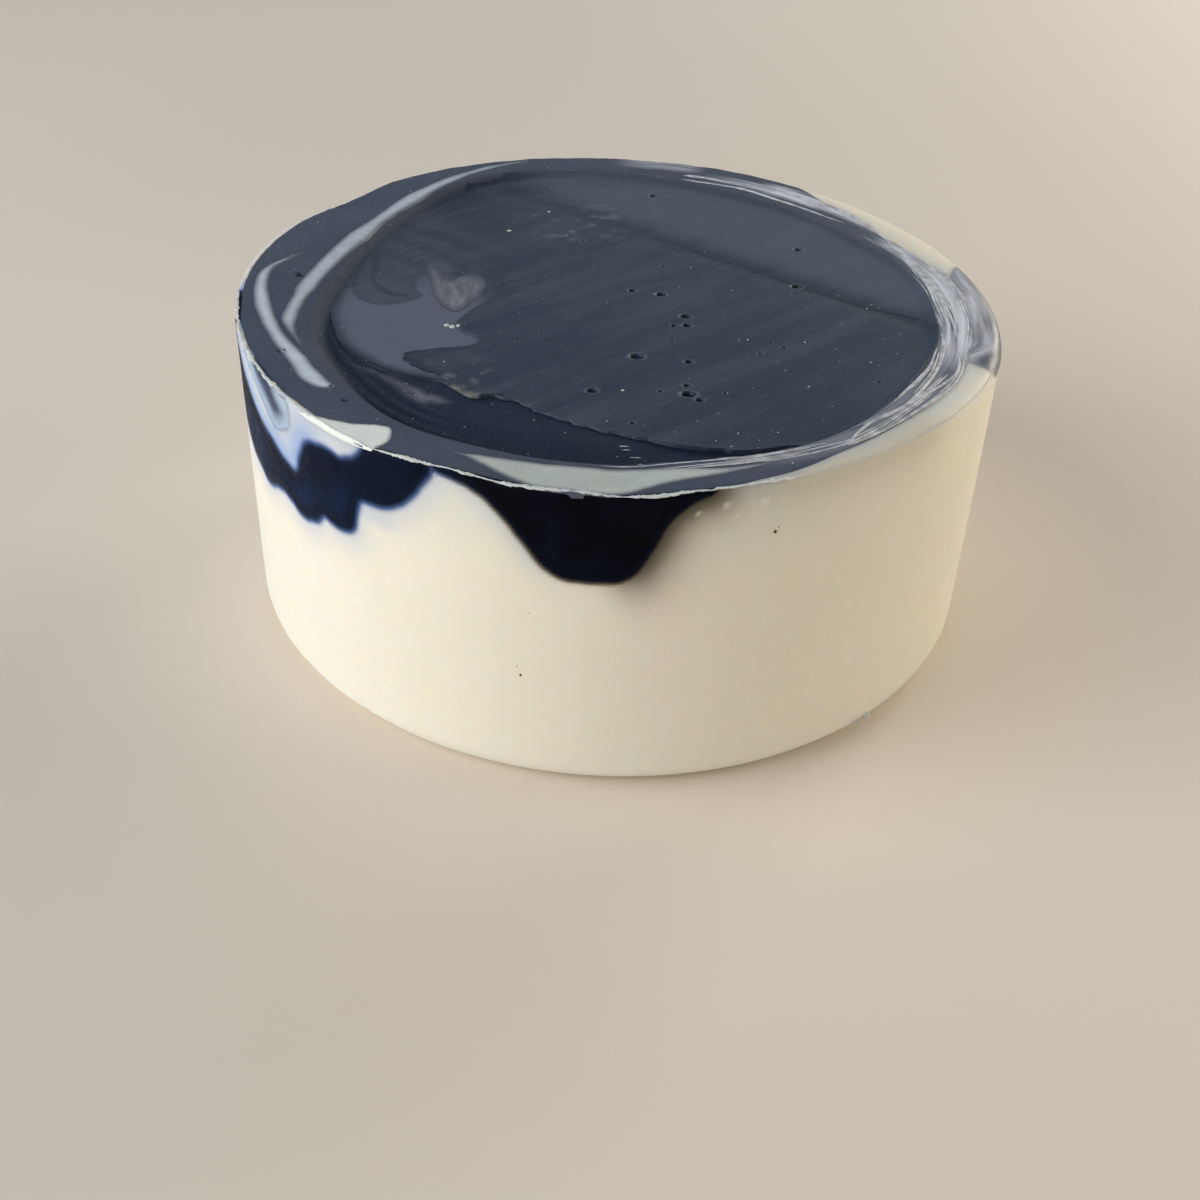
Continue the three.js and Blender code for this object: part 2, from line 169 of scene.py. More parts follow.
HOOKS = [
    [(-25.9, 9.6), (-25.8, 7.6), (-25.4, 5.1), (-25.5, 3.2), (-25.0, 1.6), (-24.1, 0.4), (-23.0, -0.6),
     (-21.6, -0.7)],
    [(-24.2, 6.6), (-23.6, 4.0), (-22.3, 2.8), (-20.8, 4.2), (-20.7, 6.4)],
    [(-17.2, 7.2), (-16.4, 6.2), (-17.0, 4.8)],
]
EDGE_FLAKE = [(-16.2, -18.0), (-15.0, -18.9), (-13.8, -19.6), (-12.6, -19.9), (-11.4, -20.2), (-9.9, -20.9),
              (-11.4, -21.1), (-12.4, -21.4), (-13.5, -21.1), (-14.2, -20.3), (-15.2, -19.2)]
PALE_SMUDGE = [(-25.8, -14.6), (-22.1, -16.6), (-18.8, -18.8), (-15.6, -20.9), (-14.6, -22.2), (-17.4, -22.5),
               (-19.0, -21.2), (-20.4, -19.4), (-22.4, -17.6)]
# Pale smears dragged along the rim land, their bluish white partly a painted sheen, as a share and windows of
# angle and inset.
PALE_SMEARS = [
    (1.0, (-30, -12, 24, 34), (1.6, 2.6, 5.0, 6.6)), (0.22, (-74, -56, -30, -12), (1.8, 2.8, 5.4, 6.4)),
    (0.75, (28, 36, 62, 76), (2.2, 3.0, 4.0, 5.0)), (1.0, (46, 51, 58, 64), (1.2, 2.2, 4.4, 5.4)),
    (0.45, (74, 79, 86, 93), (-0.6, 0.4, 2.0, 3.4)),
]
# Burst bubbles in the trowelled skins, as [x, y, size].
PINHOLES = [
    (1.7, -12.6, 0.55), (4.1, 1.3, 0.44), (1.2, 2.0, 0.34), (6.5, -3.6, 0.44), (6.6, -5.6, 0.39),
    (5.3, -5.7, 0.26), (6.6, -13.3, 0.36), (6.3, -17.9, 0.31), (6.4, -19.6, 0.55), (7.4, -20.6, 0.34),
    (-2.3, -19.6, 0.42), (18.1, 4.5, 0.44), (19.0, 13.5, 0.39), (3.4, 27.6, 0.36), (13.4, -11.2, 0.18),
    (9.8, -19.2, 0.16), (-4.2, 14.2, 0.16), (14.6, -8.6, 0.16), (15.8, -9.6, 0.2), (24.1, -16.0, 0.2),
    (5.1, -8.9, 0.16), (3.9, -19.2, 0.18), (4.5, 8.3, 0.21), (1.4, -25.2, 0.2), (-7.5, -7.9, 0.16),
]
# Lighter crumbs pressed into the top, as [x, y, size], and short white dashes as [x, y, length].
CRUMBS = [
    (-16.8, -7.1, 0.6), (-16.2, -7.4, 0.7), (-15.6, -7.3, 0.5), (-12.4, 16.4, 0.5),
    (-8.3, 22.0, 0.45), (-4.9, 17.2, 0.16), (-6.0, 15.6, 0.2),
    (0.5, -19.3, 0.36), (-1.9, -19.0, 0.2), (-7.7, -0.6, 0.16), (-9.9, -4.0, 0.18), (-4.0, -1.0, 0.17),
    (-1.3, -1.1, 0.2), (-2.8, -9.9, 0.14), (-8.5, -9.6, 0.12), (4.5, 8.0, 0.12), (7.3, 8.3, 0.16),
    (6.0, 3.4, 0.17), (12.4, -8.3, 0.2), (17.9, -8.4, 0.2), (21.9, -4.1, 0.14), (17.5, -17.4, 0.24),
    (15.6, -14.4, 0.16), (23.8, -12.1, 0.18), (18.3, -23.4, 0.1), (21.0, -24.4, 0.12), (10.6, -26.3, 0.16),
    (14.1, -25.9, 0.14), (9.9, -28.6, 0.18), (-0.8, -25.0, 0.2), (9.0, -22.9, 0.13), (7.1, -24.4, 0.14),
    (12.4, -27.4, 0.12), (-26.6, -21.0, 0.2), (-29.5, -19.2, 0.14), (-4.4, -27.0, 0.12), (-7.2, -25.0, 0.1),
]
DASHES = [(0.7, -28.9, 0.9), (0.9, -29.4, 0.7), (1.7, -30.4, 1.0), (2.3, -31.3, 0.8)]
# Finer grains scattered over the top: how many, and how far out.
GRAIN_COUNT, GRAIN_REACH = 170, 36.5
# Pale bubbles under the skin of the wall and dark specks on it, as [angle, drop, size].
BUBBLES = [(-75.9, 1.6, 0.42), (-70.9, 1.7, 0.5), (-79.4, 2.1, 0.3), (-56.5, 2.9, 0.38), (-74.3, 2.8, 0.3),
           (-61.0, 4.2, 0.3), (-66.0, 3.4, 0.25), (-52.0, 5.0, 0.3), (-48.0, 3.6, 0.28), (-84.0, 11.5, 0.3),
           (-99.0, 20.0, 0.3), (-112.0, 14.0, 0.35), (-58.0, 12.0, 0.3), (-40.0, 7.0, 0.3)]
WALL_SPECKS = [(-69.0, 5.0, 0.26), (-68.6, 4.6, 0.12), (-100.4, 12.6, 0.09), (-101.5, 19.6, 0.22),
               (-102.0, 18.7, 0.1)]
# Grains that lie at the foot, as [angle, height, size], and burst bubbles in the rim land, as [x, y, size].
FOOT_GRAINS = [(-47.0, 1.5, 0.36), (-49.5, 1.3, 0.28), (-48.6, 1.0, 0.2)]
RIM_PITS = [(-32.4, 0.8, 0.5), (-31.0, -15.8, 0.34), (-23.8, -24.3, 0.3), (-25.6, -22.0, 0.22)]


# ---------------------------------------------------------------- number tools

def around(points, blur=2.5):
    """A smooth function of the angle that passes close to the given [angle, value] points."""
    step = 0.5
    grid = np.arange(0.0, 360.0, step)
    angles, values = np.array(points, dtype=float).T
    line = np.interp(grid, angles, values, period=360.0)
    reach = np.minimum(grid, 360.0 - grid)
    weight = np.exp(-0.5 * (reach / blur) ** 2)
    soft = np.real(np.fft.ifft(np.fft.fft(line) * np.fft.fft(weight / weight.sum())))
    return lambda angle: np.interp(angle, grid, soft, period=360.0)


def smoothstep(low, high, value):
    share = np.clip((value - low) / (high - low), 0.0, 1.0)
    return share * share * (3.0 - 2.0 * share)


def window(value, rise, top, fall, end):
    """One between top and fall, easing to nought at rise and at end."""
    return smoothstep(rise, top, value) * smoothstep(end, fall, value)


def bell(value, width):
    return np.exp(-((value / width) ** 2))


def stacked(*parts):
    """Arrays side by side along a new last axis."""
    return np.stack(parts, axis=-1)


NOISE_SIDE = 32
NOISE_TABLE = np.random.default_rng(11).random((NOISE_SIDE,) * 3) * 2.0 - 1.0


def noise(x, y, z, scale, seed=0):
    """Smooth value noise between -1 and 1, with lumps about scale millimetres across."""
    place = np.stack(np.broadcast_arrays(x, y, z), axis=-1) / scale + seed * 7.31 + 1000.0
    cell = np.floor(place).astype(int)
    share = place - cell
    share = share * share * (3.0 - 2.0 * share)
    total = 0.0
    for corner in range(8):
        bits = np.array([corner & 1, corner >> 1 & 1, corner >> 2 & 1])
        index = (cell + bits) % NOISE_SIDE
        weight = np.where(bits == 1, share, 1.0 - share).prod(axis=-1)
        total = total + weight * NOISE_TABLE[index[..., 0], index[..., 1], index[..., 2]]
    return total


def fractal(x, y, z, scale, seed=0, octaves=3):
    total, size = 0.0, 1.0
    for octave in range(octaves):
        total = total + size * noise(x, y, z, scale / 2**octave, seed + octave)
        size *= 0.5
    return total


def catmull(points, closed, steps=8):
    """Points of a smooth curve through the given ones."""
    knots = np.array(points, dtype=float)
    count = len(knots)
    spans = count if closed else count - 1
    curve = []
    for span in range(spans):
        picks = [span - 1, span, span + 1, span + 2]
        picks = [pick % count if closed else min(max(pick, 0), count - 1) for pick in picks]
        a, b, c, d = knots[picks]
        for share in np.arange(steps) / steps:
            curve.append(0.5 * (2 * b + (c - a) * share + (2 * a - 5 * b + 4 * c - d) * share**2
                                + (3 * b - a - 3 * c + d) * share**3))
    if not closed:
        curve.append(knots[-1])
    return np.array(curve)


def resample(loop, spacing, closed=True):
    """Evenly spaced points along a polyline; columns after x and y are carried along."""
    ends = np.vstack([loop, loop[:1]]) if closed else loop
    lengths = np.r_[0.0, np.cumsum(np.linalg.norm(np.diff(ends[:, :2], axis=0), axis=1))]
    count = max(int(lengths[-1] / spacing), 8)
    places = np.linspace(0.0, lengths[-1], count + 1)
    if closed:
        places = places[:-1]
    return stacked(*(np.interp(places, lengths, ends[:, axis]) for axis in range(ends.shape[1])))


def soft_loop(outline, spacing, size, scale, seed):
    """Even points along a given outline, its edge made a little uneven."""
    return roughened(resample(catmull(outline, True), spacing), size, scale, seed)


def loop_normals(loop):
    """Unit normals of a closed loop, pointing outwards."""
    along = np.roll(loop, -1, axis=0) - np.roll(loop, 1, axis=0)
    along /= np.linalg.norm(along, axis=1, keepdims=True)
    x, y = loop.T
    area = np.sum(x * np.roll(y, -1) - y * np.roll(x, -1))
    return stacked(along[:, 1], -along[:, 0]) * np.sign(area)


def roughened(loop, size, scale, seed):
    """The loop with its edge made uneven by up to size."""
    wobble = fractal(loop[:, 0], loop[:, 1], 0.0, scale, seed)
    return loop + loop_normals(loop) * (size * wobble)[:, None]


def line_distance(points, line, closed):
    """Distance of each point from a polyline."""
    dense = resample(line, 0.05, closed)
    tree = KDTree(len(dense))
    for index, (x, y) in enumerate(dense):
        tree.insert((x, y, 0.0), index)
    tree.balance()
    return np.array([tree.find((x, y, 0.0))[2] for x, y in points.tolist()])


def inside(points, loop):
    """Whether each point lies inside a closed loop."""
    x, y = points.T
    result = np.zeros(len(points), dtype=bool)
    for (ax, ay), (bx, by) in zip(loop, np.roll(loop, -1, axis=0)):
        if ay != by:
            crosses = (ay > y) != (by > y)
            result ^= crosses & (x < (bx - ax) * (y - ay) / (by - ay) + ax)
    return result


def depth_inside(points, loop):
    """Signed distance from a closed loop, positive inside it."""
    shape = points.shape[:-1]
    flat = points.reshape(-1, 2)
    distance = line_distance(flat, loop, closed=True)
    return np.where(inside(flat, loop), distance, -distance).reshape(shape)


# ---------------------------------------------------------------- the puck's surface

rim_rise = around(RIM_RISE)
rim_round = around(RIM_ROUND, 5.0)
charcoal_edge = around(CHARCOAL_EDGE, 1.6)
recess_edge = around(RECESS_EDGE, 3.0)
recess_slope = around(RECESS_SLOPE, 6.0)
recess_depth = around(RECESS_DEPTH, 8.0)


def plan(points):
    """[x, y] of [angle, inset] points."""
    angles, insets = np.array(points, dtype=float).T
    turn = np.radians(angles)
    return stacked(np.cos(turn), np.sin(turn)) * (RADIUS - insets)[:, None]


def unrolled(points):
    """[arc length, drop] of [angle, drop] points, on the wall laid flat."""
    angles, drops = np.array(points, dtype=float).T
    return stacked(np.radians(angles) * RADIUS, drops)


def wall_radius(angle, z):
    """Radius of the wall, a little uneven as cast soap is."""
    turn = np.radians(angle)
    x, y = np.cos(turn) * RADIUS, np.sin(turn) * RADIUS
    uneven = 0.07 * noise(x, y, z, 14.0, 3) + 0.02 * noise(x, y, z, 4.0, 5)
    return RADIUS - 0.1 + uneven


def pit_gap(x, y, pit):
    """Distance from a burst bubble's middle, as a share of its size; the bubbles are a little wide."""
    return np.hypot((x - pit[0]) * 0.8, y - pit[1]) / pit[2]


def pit_depth(x, y, pits):
    """Depth of small round burst bubbles."""
    total = np.zeros(np.shape(x))
    for pit in pits:
        gap = pit_gap(x, y, pit)
        total = total + pit[2] * (1.5 * (1.0 - smoothstep(0.55, 1.0, gap)) - 0.12 * bell(gap - 1.25, 0.2))
    return total


def top_height(x, y):
    """Height of the charcoal's top: the rim land, the slope and the floor of the recess."""
    reach = np.hypot(x, y)
    angle = np.degrees(np.arctan2(y, x))
    inset = RADIUS - reach
    land = HEIGHT + rim_rise(angle) * (1.0 - smoothstep(0.5, 9.0, inset))
    land = land + 0.05 * noise(x, y, 0.0, 5.0, 21)
    land = land + 0.07 * fractal(x, y, 0.0, 1.6, 22) * (1.0 - smoothstep(0.2, 1.6, inset))
    slope = smoothstep(0.0, 1.0, (inset - recess_edge(angle)) / recess_slope(angle))
    middle = 0.88 + 0.27 * smoothstep(-9.0, -17.0, x)
    depth = middle + (recess_depth(angle) - middle) * smoothstep(28.0, 32.3, reach)
    floor = 0.06 * noise(x, y, 0.0, 9.0, 23) + 0.025 * noise(x, y, 0.0, 2.5, 24)
    inwards = inset - recess_edge(angle)
    ridged = window(angle, -176.0, -160.0, -128.0, -112.0)
    ridged = ridged * window(inwards, 0.8, 1.8, 4.0, 7.0)
    turns = (inwards - 0.03 * (angle + 145.0)) / TERRACE_SPACING
    floor = floor - TERRACE_HEIGHT * ridged * np.sin(2.0 * math.pi * turns)
    return land - slope * (depth + floor) - pit_depth(x, y, RIM_PITS)


def rim_surface(angle, along, lift=0.0):
    """Points on the outside: along is the way from the rim, inwards below zero, down the wall above.

    lift moves them out of the surface.
    """
    angle, along, lift = np.broadcast_arrays(angle, along, lift)
    turn = np.radians(angle)
    cosine, sine = np.cos(turn), np.sin(turn)
    corner = rim_round(angle)
    on_top = np.minimum(along, 0.0)
    reach = wall_radius(angle, HEIGHT) + on_top
    roof = top_height(cosine * reach, sine * reach)
    wall_z = HEIGHT + rim_rise(angle) - np.maximum(along, 0.0)
    share = np.clip((along + corner) / (2.0 * corner), 0.0, 1.0)
    edge_roof = top_height(cosine * (RADIUS - corner), sine * (RADIUS - corner))
    bend_r = (RADIUS - 0.1 - corner) * (1 - share) ** 2 + (RADIUS - 0.1) * (2 * share * (1 - share) + share**2)
    bend_z = edge_roof * ((1 - share) ** 2 + 2 * share * (1 - share)) + (edge_roof - corner) * share**2
    bending = np.abs(along) < corner
    r = np.where(bending, bend_r, np.where(along < 0, reach, wall_radius(angle, wall_z)))
    z = np.where(bending, bend_z, np.where(along < 0, roof, wall_z))
    tilt = share * math.pi / 2.0
    r = r + lift * np.sin(tilt)
    z = z + lift * np.cos(tilt)
    return stacked(cosine * r, sine * r, z)


# ---------------------------------------------------------------- mesh tools

def add_object(name, data):
    """A new object of the scene."""
    item = bpy.data.objects.new(name, data)
    bpy.context.scene.collection.objects.link(item)
    return item


BODY = "root"
SHARP_ANGLE = math.radians(62.0)


def build_mesh(name, points, faces, attributes=None):
    mesh = bpy.data.meshes.new(name)
    mesh.from_pydata((np.asarray(points) * MM).tolist(), [], faces)
    mesh.validate()
    mesh.shade_smooth()
    mesh.set_sharp_from_angle(angle=SHARP_ANGLE)
    for key, values in (attributes or {}).items():
        layer = mesh.attributes.new(key, "FLOAT", "POINT")
        layer.data.foreach_set("value", np.ascontiguousarray(values, dtype=np.float32))
    return add_object(name, mesh)


def finish_piece(piece, material, slot, *nodes):
    piece.data.materials.append(material)
    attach(piece, BODY)
    if nodes:
        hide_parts(*nodes)
    return piece


def ring_faces(rows, columns):
    """Quads of a grid whose columns close into a ring, row after row."""
    row, column = np.meshgrid(np.arange(rows - 1), np.arange(columns), indexing="ij")
    after = (column + 1) % columns
    quads = stacked(row * columns + column, row * columns + after,
                      (row + 1) * columns + after, (row + 1) * columns + column)
    return quads.reshape(-1, 4).tolist()


def fan_faces(first, columns, centre, flip):
    """Triangles from a ring of points to one centre point."""
    faces = []
    for column in range(columns):
        pair = [first + column, first + (column + 1) % columns]
        faces.append([*(pair[::-1] if flip else pair), centre])
    return faces


def patch_points(loop, spacing, rings, extra):
    """Points for a flat patch: its edge, rings close inside the edge, and a grid with a fine edge."""
    normals = loop_normals(loop)
    sets = []
    for ring in rings:
        moved = loop - normals * ring
        sets.append(moved[depth_inside(moved, loop) > 0.93 * ring])
    low, high = loop.min(axis=0), loop.max(axis=0)
    columns = np.arange(low[0], high[0], spacing)
    rows = np.arange(low[1], high[1], spacing * 0.87)
    x, y = np.meshgrid(columns, rows)
    x = x + np.where(np.arange(len(rows)) % 2, spacing / 2, 0.0)[:, None]
    grid = stacked(x.ravel(), y.ravel())
    margin = (max(rings) if rings else 0.0) + 0.45 * spacing
    sets.append(grid[depth_inside(grid, loop) > margin])
    if extra is not None:
        sets.append(extra[depth_inside(extra, loop) > 0.1])
    return np.vstack(sets)


def patch(name, loop, spacing, place, thickness, rings=(0.08, 0.2), extra=None, marks=None):
    """A closed piece with a detailed face: place(points, depth) gives the face's 3-D points.

    The back is the loop moved in by thickness, joined to the face by a skirt.
    """
    count = len(loop)
    points = np.vstack([loop, patch_points(loop, spacing, rings, extra)])
    edges = [(index, (index + 1) % count) for index in range(count)]
    flat, _, faces, origins, _, _ = delaunay_2d_cdt([Vector(point) for point in points], edges, [], 1, 1e-6)
    flat = np.array([tuple(point) for point in flat])
    depth = np.maximum(depth_inside(flat, loop), 0.0)
    front = place(flat, depth)
    lookup = {origin: index for index, group in enumerate(origins) for origin in group}
    rim = [lookup[index] for index in range(count)]
    back = place(loop, np.full(count, -thickness))
    first = len(front)
    faces = [list(face) for face in faces]
    a, b, c = front[faces[0][0]], front[faces[0][1]], front[faces[0][2]]
    outwards = front.mean(axis=0) - np.array([0.0, 0.0, HEIGHT / 3])
    if np.dot(np.cross(b - a, c - a), outwards) < 0:
        faces = [face[::-1] for face in faces]
    used = {(face[i], face[(i + 1) % len(face)]) for face in faces for i in range(len(face))}
    forward = (rim[0], rim[1]) in used
    for index in range(count):
        after = (index + 1) % count
        side = [rim[index], first + index, first + after, rim[after]]
        faces.append(side if forward else side[::-1])
    _, _, floor, back_origins, _, _ = delaunay_2d_cdt([Vector(p) for p in loop], edges, [], 1, 1e-6)
    back_names = [group[0] for group in back_origins]
    for face in floor:
        turned = [first + back_names[index] for index in face]
        x, y = loop[[back_names[index] for index in face]].T
        clockwise = (x[1] - x[0]) * (y[2] - y[0]) - (x[2] - x[0]) * (y[1] - y[0]) < 0
        faces.append(turned if clockwise == loop_is_left(loop, forward) else turned[::-1])
    values = {key: np.r_[mark(flat, depth), mark(loop, np.zeros(count))] for key, mark in (marks or {}).items()}
    return build_mesh(name, np.vstack([front, back]), faces, values)


def add_patch(node, material, slot, *shape, name=None, **details):
    """A patch that stands for one node and is named after it, unless it has a name."""
    return finish_piece(patch(name or node + "_soap", *shape, **details), material, slot, node)


def loop_is_left(loop, forward):
    """Whether the back's faces turn clockwise in the flat, so that they face away from the front."""
    x, y = loop.T
    counter = np.sum(x * np.roll(y, -1) - y * np.roll(x, -1)) > 0
    return counter == forward


# ---------------------------------------------------------------- material tools

def new_material(name):
    material = bpy.data.materials.new(name)
    material.use_nodes = True
    return material, material.node_tree, material.node_tree.nodes["Principled BSDF"]


def add_node(tree, kind, inputs=None, **settings):
    """A node with its settings; an input is a value or another node's output."""
    node = tree.nodes.new(kind)
    for key, value in settings.items():
        setattr(node, key, value)
    for key, value in (inputs or {}).items():
        if isinstance(value, bpy.types.NodeSocket):
            tree.links.new(value, node.inputs[key])
        else:
            node.inputs[key].default_value = value
    return node


def millimetres(tree):
    """Object coordinates in millimetres."""
    place = add_node(tree, "ShaderNodeTexCoord").outputs["Object"]
    return add_node(tree, "ShaderNodeVectorMath", {0: place, 1: (1000.0,) * 3}, operation="MULTIPLY").outputs[0]


def turned(tree, vector, degrees, stretch):
    """A vector as seen along axes turned about Z by degrees, each axis stretched."""
    inputs = {"Vector": vector, "Rotation": (0.0, 0.0, math.radians(degrees)), "Scale": stretch}
    return add_node(tree, "ShaderNodeMapping", inputs, vector_type="TEXTURE").outputs[0]


def grain(tree, vector, scale, detail=3.0, roughness=0.55):
    inputs = {"Vector": vector, "Scale": scale, "Detail": detail, "Roughness": roughness}
    return add_node(tree, "ShaderNodeTexNoise", inputs).outputs["Fac"]


def mottle(tree, vector, scale, detail=3.0, low=0.0, high=1.0):
    """Soft clouds between low and high."""
    return remap(tree, grain(tree, vector, scale, detail), 0.3, 0.7, low, high)


def remap(tree, value, low, high, new_low=0.0, new_high=1.0):
    inputs = {"Value": value, "From Min": low, "From Max": high, "To Min": new_low, "To Max": new_high}
    return add_node(tree, "ShaderNodeMapRange", inputs, interpolation_type="SMOOTHSTEP").outputs[0]


def blend(tree, share, first, second):
    """A mix of two colours."""
    node = add_node(tree, "ShaderNodeMix", data_type="RGBA")
    for index, value in ((0, share), (6, first), (7, second)):
        if isinstance(value, bpy.types.NodeSocket):
            tree.links.new(value, node.inputs[index])
        else:
            node.inputs[index].default_value = value if index == 0 else (*value, 1.0)
    return node.outputs[2]


def combine(tree, operation, first, second):
    return add_node(tree, "ShaderNodeMath", {0: first, 1: second}, operation=operation).outputs[0]


def times(tree, first, second):
    return combine(tree, "MULTIPLY", first, second)


def mark(tree, name):
    return add_node(tree, "ShaderNodeAttribute", attribute_name=name).outputs["Fac"]


def specks(tree, place, spacing, size, chance):
    """Scattered round spots: one where a spot is."""
    inputs = {"Vector": place, "Scale": 1.0 / spacing, "Randomness": 1.0}
    cells = add_node(tree, "ShaderNodeTexVoronoi", inputs)
    spot = remap(tree, cells.outputs["Distance"], size * 0.6 / spacing, size / spacing, 1.0, 0.0)
    pick = add_node(tree, "ShaderNodeSeparateColor", {"Color": cells.outputs["Color"]}).outputs[0]
    return times(tree, spot, combine(tree, "LESS_THAN", pick, chance))


def rough(tree, shader, heights):
    """Bump from [height, distance in millimetres] layers."""
    normal = None
    for height, distance in heights:
        inputs = {"Height": height, "Distance": distance * MM, "Strength": 1.0}
        if normal is not None:
            inputs["Normal"] = normal
        normal = add_node(tree, "ShaderNodeBump", inputs).outputs[0]
    tree.links.new(normal, shader.inputs["Normal"])


def dress(tree, shader, colour, roughness, bumps=()):
    """Gives the shader its colour, its roughness and its bump layers."""
    for socket, value in (("Base Color", colour), ("Roughness", roughness)):
        if isinstance(value, bpy.types.NodeSocket):
            tree.links.new(value, shader.inputs[socket])
        else:
            shader.inputs[socket].default_value = value
    if bumps:
        rough(tree, shader, bumps)


def shine(shader, level, ior=1.46, tint=(1.0, 1.0, 1.0)):
    shader.inputs["IOR"].default_value = ior
    shader.inputs["Specular Tint"].default_value = (*tint, 1.0)
    shader.inputs["Specular IOR Level"].default_value = level


def soapy(shader, scatter, depth):
    """Light that wanders under the surface, by up to depth millimetres."""
    shader.inputs["Subsurface Weight"].default_value = scatter
    shader.inputs["Subsurface Radius"].default_value = (1.0, 0.72, 0.45)
    shader.inputs["Subsurface Scale"].default_value = depth * MM


IVORY = (0.92, 0.87, 0.74)
CHARCOAL = (0.068, 0.084, 0.126)
# Painted shade: darker charcoal that stands in for the shade down in the recess.
SHADED_RECESS_CHARCOAL = (0.008, 0.017, 0.040)
NAVY = (0.002, 0.004, 0.013)
BLUE_BLACK = (0.003, 0.008, 0.026)
SLATE = (0.013, 0.022, 0.044)
COOL_SHINE = (0.72, 0.88, 1.0)
DRAG_ANGLE = 43.0


def ivory_material():
    material, tree, shader = new_material("ivory_soap")
    place = millimetres(tree)
    cloud = mottle(tree, place, 0.09, 2.0)
    colour = blend(tree, cloud, IVORY, (0.93, 0.87, 0.76))
    spots = remap(tree, grain(tree, place, 0.55, 1.0), 0.66, 0.78)
    colour = blend(tree, times(tree, spots, 0.35), colour, (0.96, 0.94, 0.88))
    colour = blend(tree, mark(tree, "veil"), colour, (0.30, 0.42, 0.70))
    tint = mark(tree, "tint")
    half_way = blend(tree, mark(tree, "cool"), (0.22, 0.19, 0.14), (0.09, 0.16, 0.36))
    colour = blend(tree, remap(tree, tint, 0.0, 0.6), colour, half_way)
    darkest = blend(tree, mark(tree, "cool"), NAVY, BLUE_BLACK)
    colour = blend(tree, remap(tree, tint, 0.3, 0.95), colour, darkest)
    colour = blend(tree, times(tree, mark(tree, "bubble"), 0.55), colour, (0.96, 0.92, 0.82))
    satin = mottle(tree, place, 0.5, 4.0, 0.30, 0.42)
    dress(tree, shader, colour, satin,
          [(grain(tree, place, 0.35, 2.0), 0.10), (grain(tree, place, 7.0, 3.0), 0.006)])
    soapy(shader, 0.9, depth=4.5)
    shine(shader, 0.10, 1.3)
    return material


def charcoal_material():
    material, tree, shader = new_material("charcoal_soap")
    place = millimetres(tree)
    cloud = remap(tree, grain(tree, place, 0.16, 4.0), 0.35, 0.7)
    colour = blend(tree, cloud, CHARCOAL, (0.084, 0.099, 0.144))
    # Painted shade: the slope and floor of the recess are drawn darker, as if shaded.
    colour = blend(tree, mark(tree, "recess_shade"), colour, SHADED_RECESS_CHARCOAL)
    fine = remap(tree, grain(tree, place, 5.0, 3.0, 0.7), 0.52, 0.72)
    colour = blend(tree, times(tree, fine, 0.35), colour, (0.105, 0.118, 0.155))
    vein = remap(tree, grain(tree, turned(tree, place, -27.0, (3.5, 1.0, 1.0)), 2.6, 4.0, 0.65), 0.28, 0.56)
    smudge = times(tree, vein, mark(tree, "smudge"))
    colour = blend(tree, smudge, colour, (0.20, 0.20, 0.26))
    colour = blend(tree, times(tree, specks(tree, place, 1.5, 0.11, 0.35), 0.7), colour,
                   (0.40, 0.44, 0.50))
    streak_place = add_node(tree, "ShaderNodeCombineXYZ", {
        "X": times(tree, mark(tree, "arc"), 0.045),
        "Y": times(tree, mark(tree, "inset"), 1.1),
    }).outputs[0]
    streak = remap(tree, grain(tree, streak_place, 1.6, 5.0, 0.62), 0.26, 0.58)
    streak = times(tree, streak, mark(tree, "smear"))
    # Pale soap streaks on the rim land; their bluish white is partly a painted sheen.
    colour = blend(tree, streak, colour, (0.84, 0.86, 0.95))
    colour = blend(tree, mark(tree, "wall"), colour, NAVY)
    matte = mottle(tree, place, 2.5, 4.0, 0.50, 0.68)
    dress(tree, shader, colour, matte, [
        (streak, 0.05), (grain(tree, place, 3.0, 6.0, 0.7), 0.05), (grain(tree, place, 11.0, 3.0, 0.6), 0.02)])
    shine(shader, 0.30, tint=COOL_SHINE)
    return material


def skin_material():
    material, tree, shader = new_material("trowelled_skin")
    place = millimetres(tree)
    drag = turned(tree, place, DRAG_ANGLE, (14.0, 1.0, 1.0))
    lines = grain(tree, drag, 3.2, 5.0, 0.65)
    broad = grain(tree, turned(tree, place, DRAG_ANGLE, (20.0, 2.8, 2.5)), 1.0, 3.0)
    smooth = mark(tree, "satin")
    dragged = combine(tree, "SUBTRACT", 1.0, smooth)
    colour = blend(tree, remap(tree, broad, 0.35, 0.68), SLATE, (0.036, 0.048, 0.074))
    colour = blend(tree, times(tree, mark(tree, "beyond"), 0.75), colour, (0.082, 0.096, 0.132))
    pale_lines = times(tree, remap(tree, lines, 0.56, 0.74), dragged)
    colour = blend(tree, times(tree, pale_lines, 0.6), colour, (0.100, 0.118, 0.158))
    # Painted shade: the crease is darkened as if its groove lay in shade.
    colour = blend(tree, mark(tree, "crease"), colour, (0.014, 0.020, 0.032))
    colour = blend(tree, smooth, colour, (0.108, 0.117, 0.168))
    colour = blend(tree, mark(tree, "hook"), colour, (0.012, 0.018, 0.032))
    colour = blend(tree, mark(tree, "shade"), colour, (0.007, 0.013, 0.028))
    colour = blend(tree, mark(tree, "scuff"), colour, (0.20, 0.23, 0.27))
    # Painted shade: the pinholes are filled near black for the shade inside them.
    colour = blend(tree, mark(tree, "pit"), colour, (0.002, 0.003, 0.005))
    colour = blend(tree, times(tree, specks(tree, place, 1.7, 0.12, 0.35), 0.65), colour,
                   (0.34, 0.39, 0.42))
    colour = blend(tree, times(tree, specks(tree, place, 0.9, 0.055, 0.25), 0.5), colour,
                   (0.30, 0.35, 0.40))
    gloss = remap(tree, lines, 0.3, 0.7, 0.36, 0.52)
    dress(tree, shader, colour, gloss,
          [(times(tree, lines, dragged), 0.055), (grain(tree, place, 9.0, 3.0), 0.008)])
    shine(shader, 0.5, tint=COOL_SHINE)
    return material


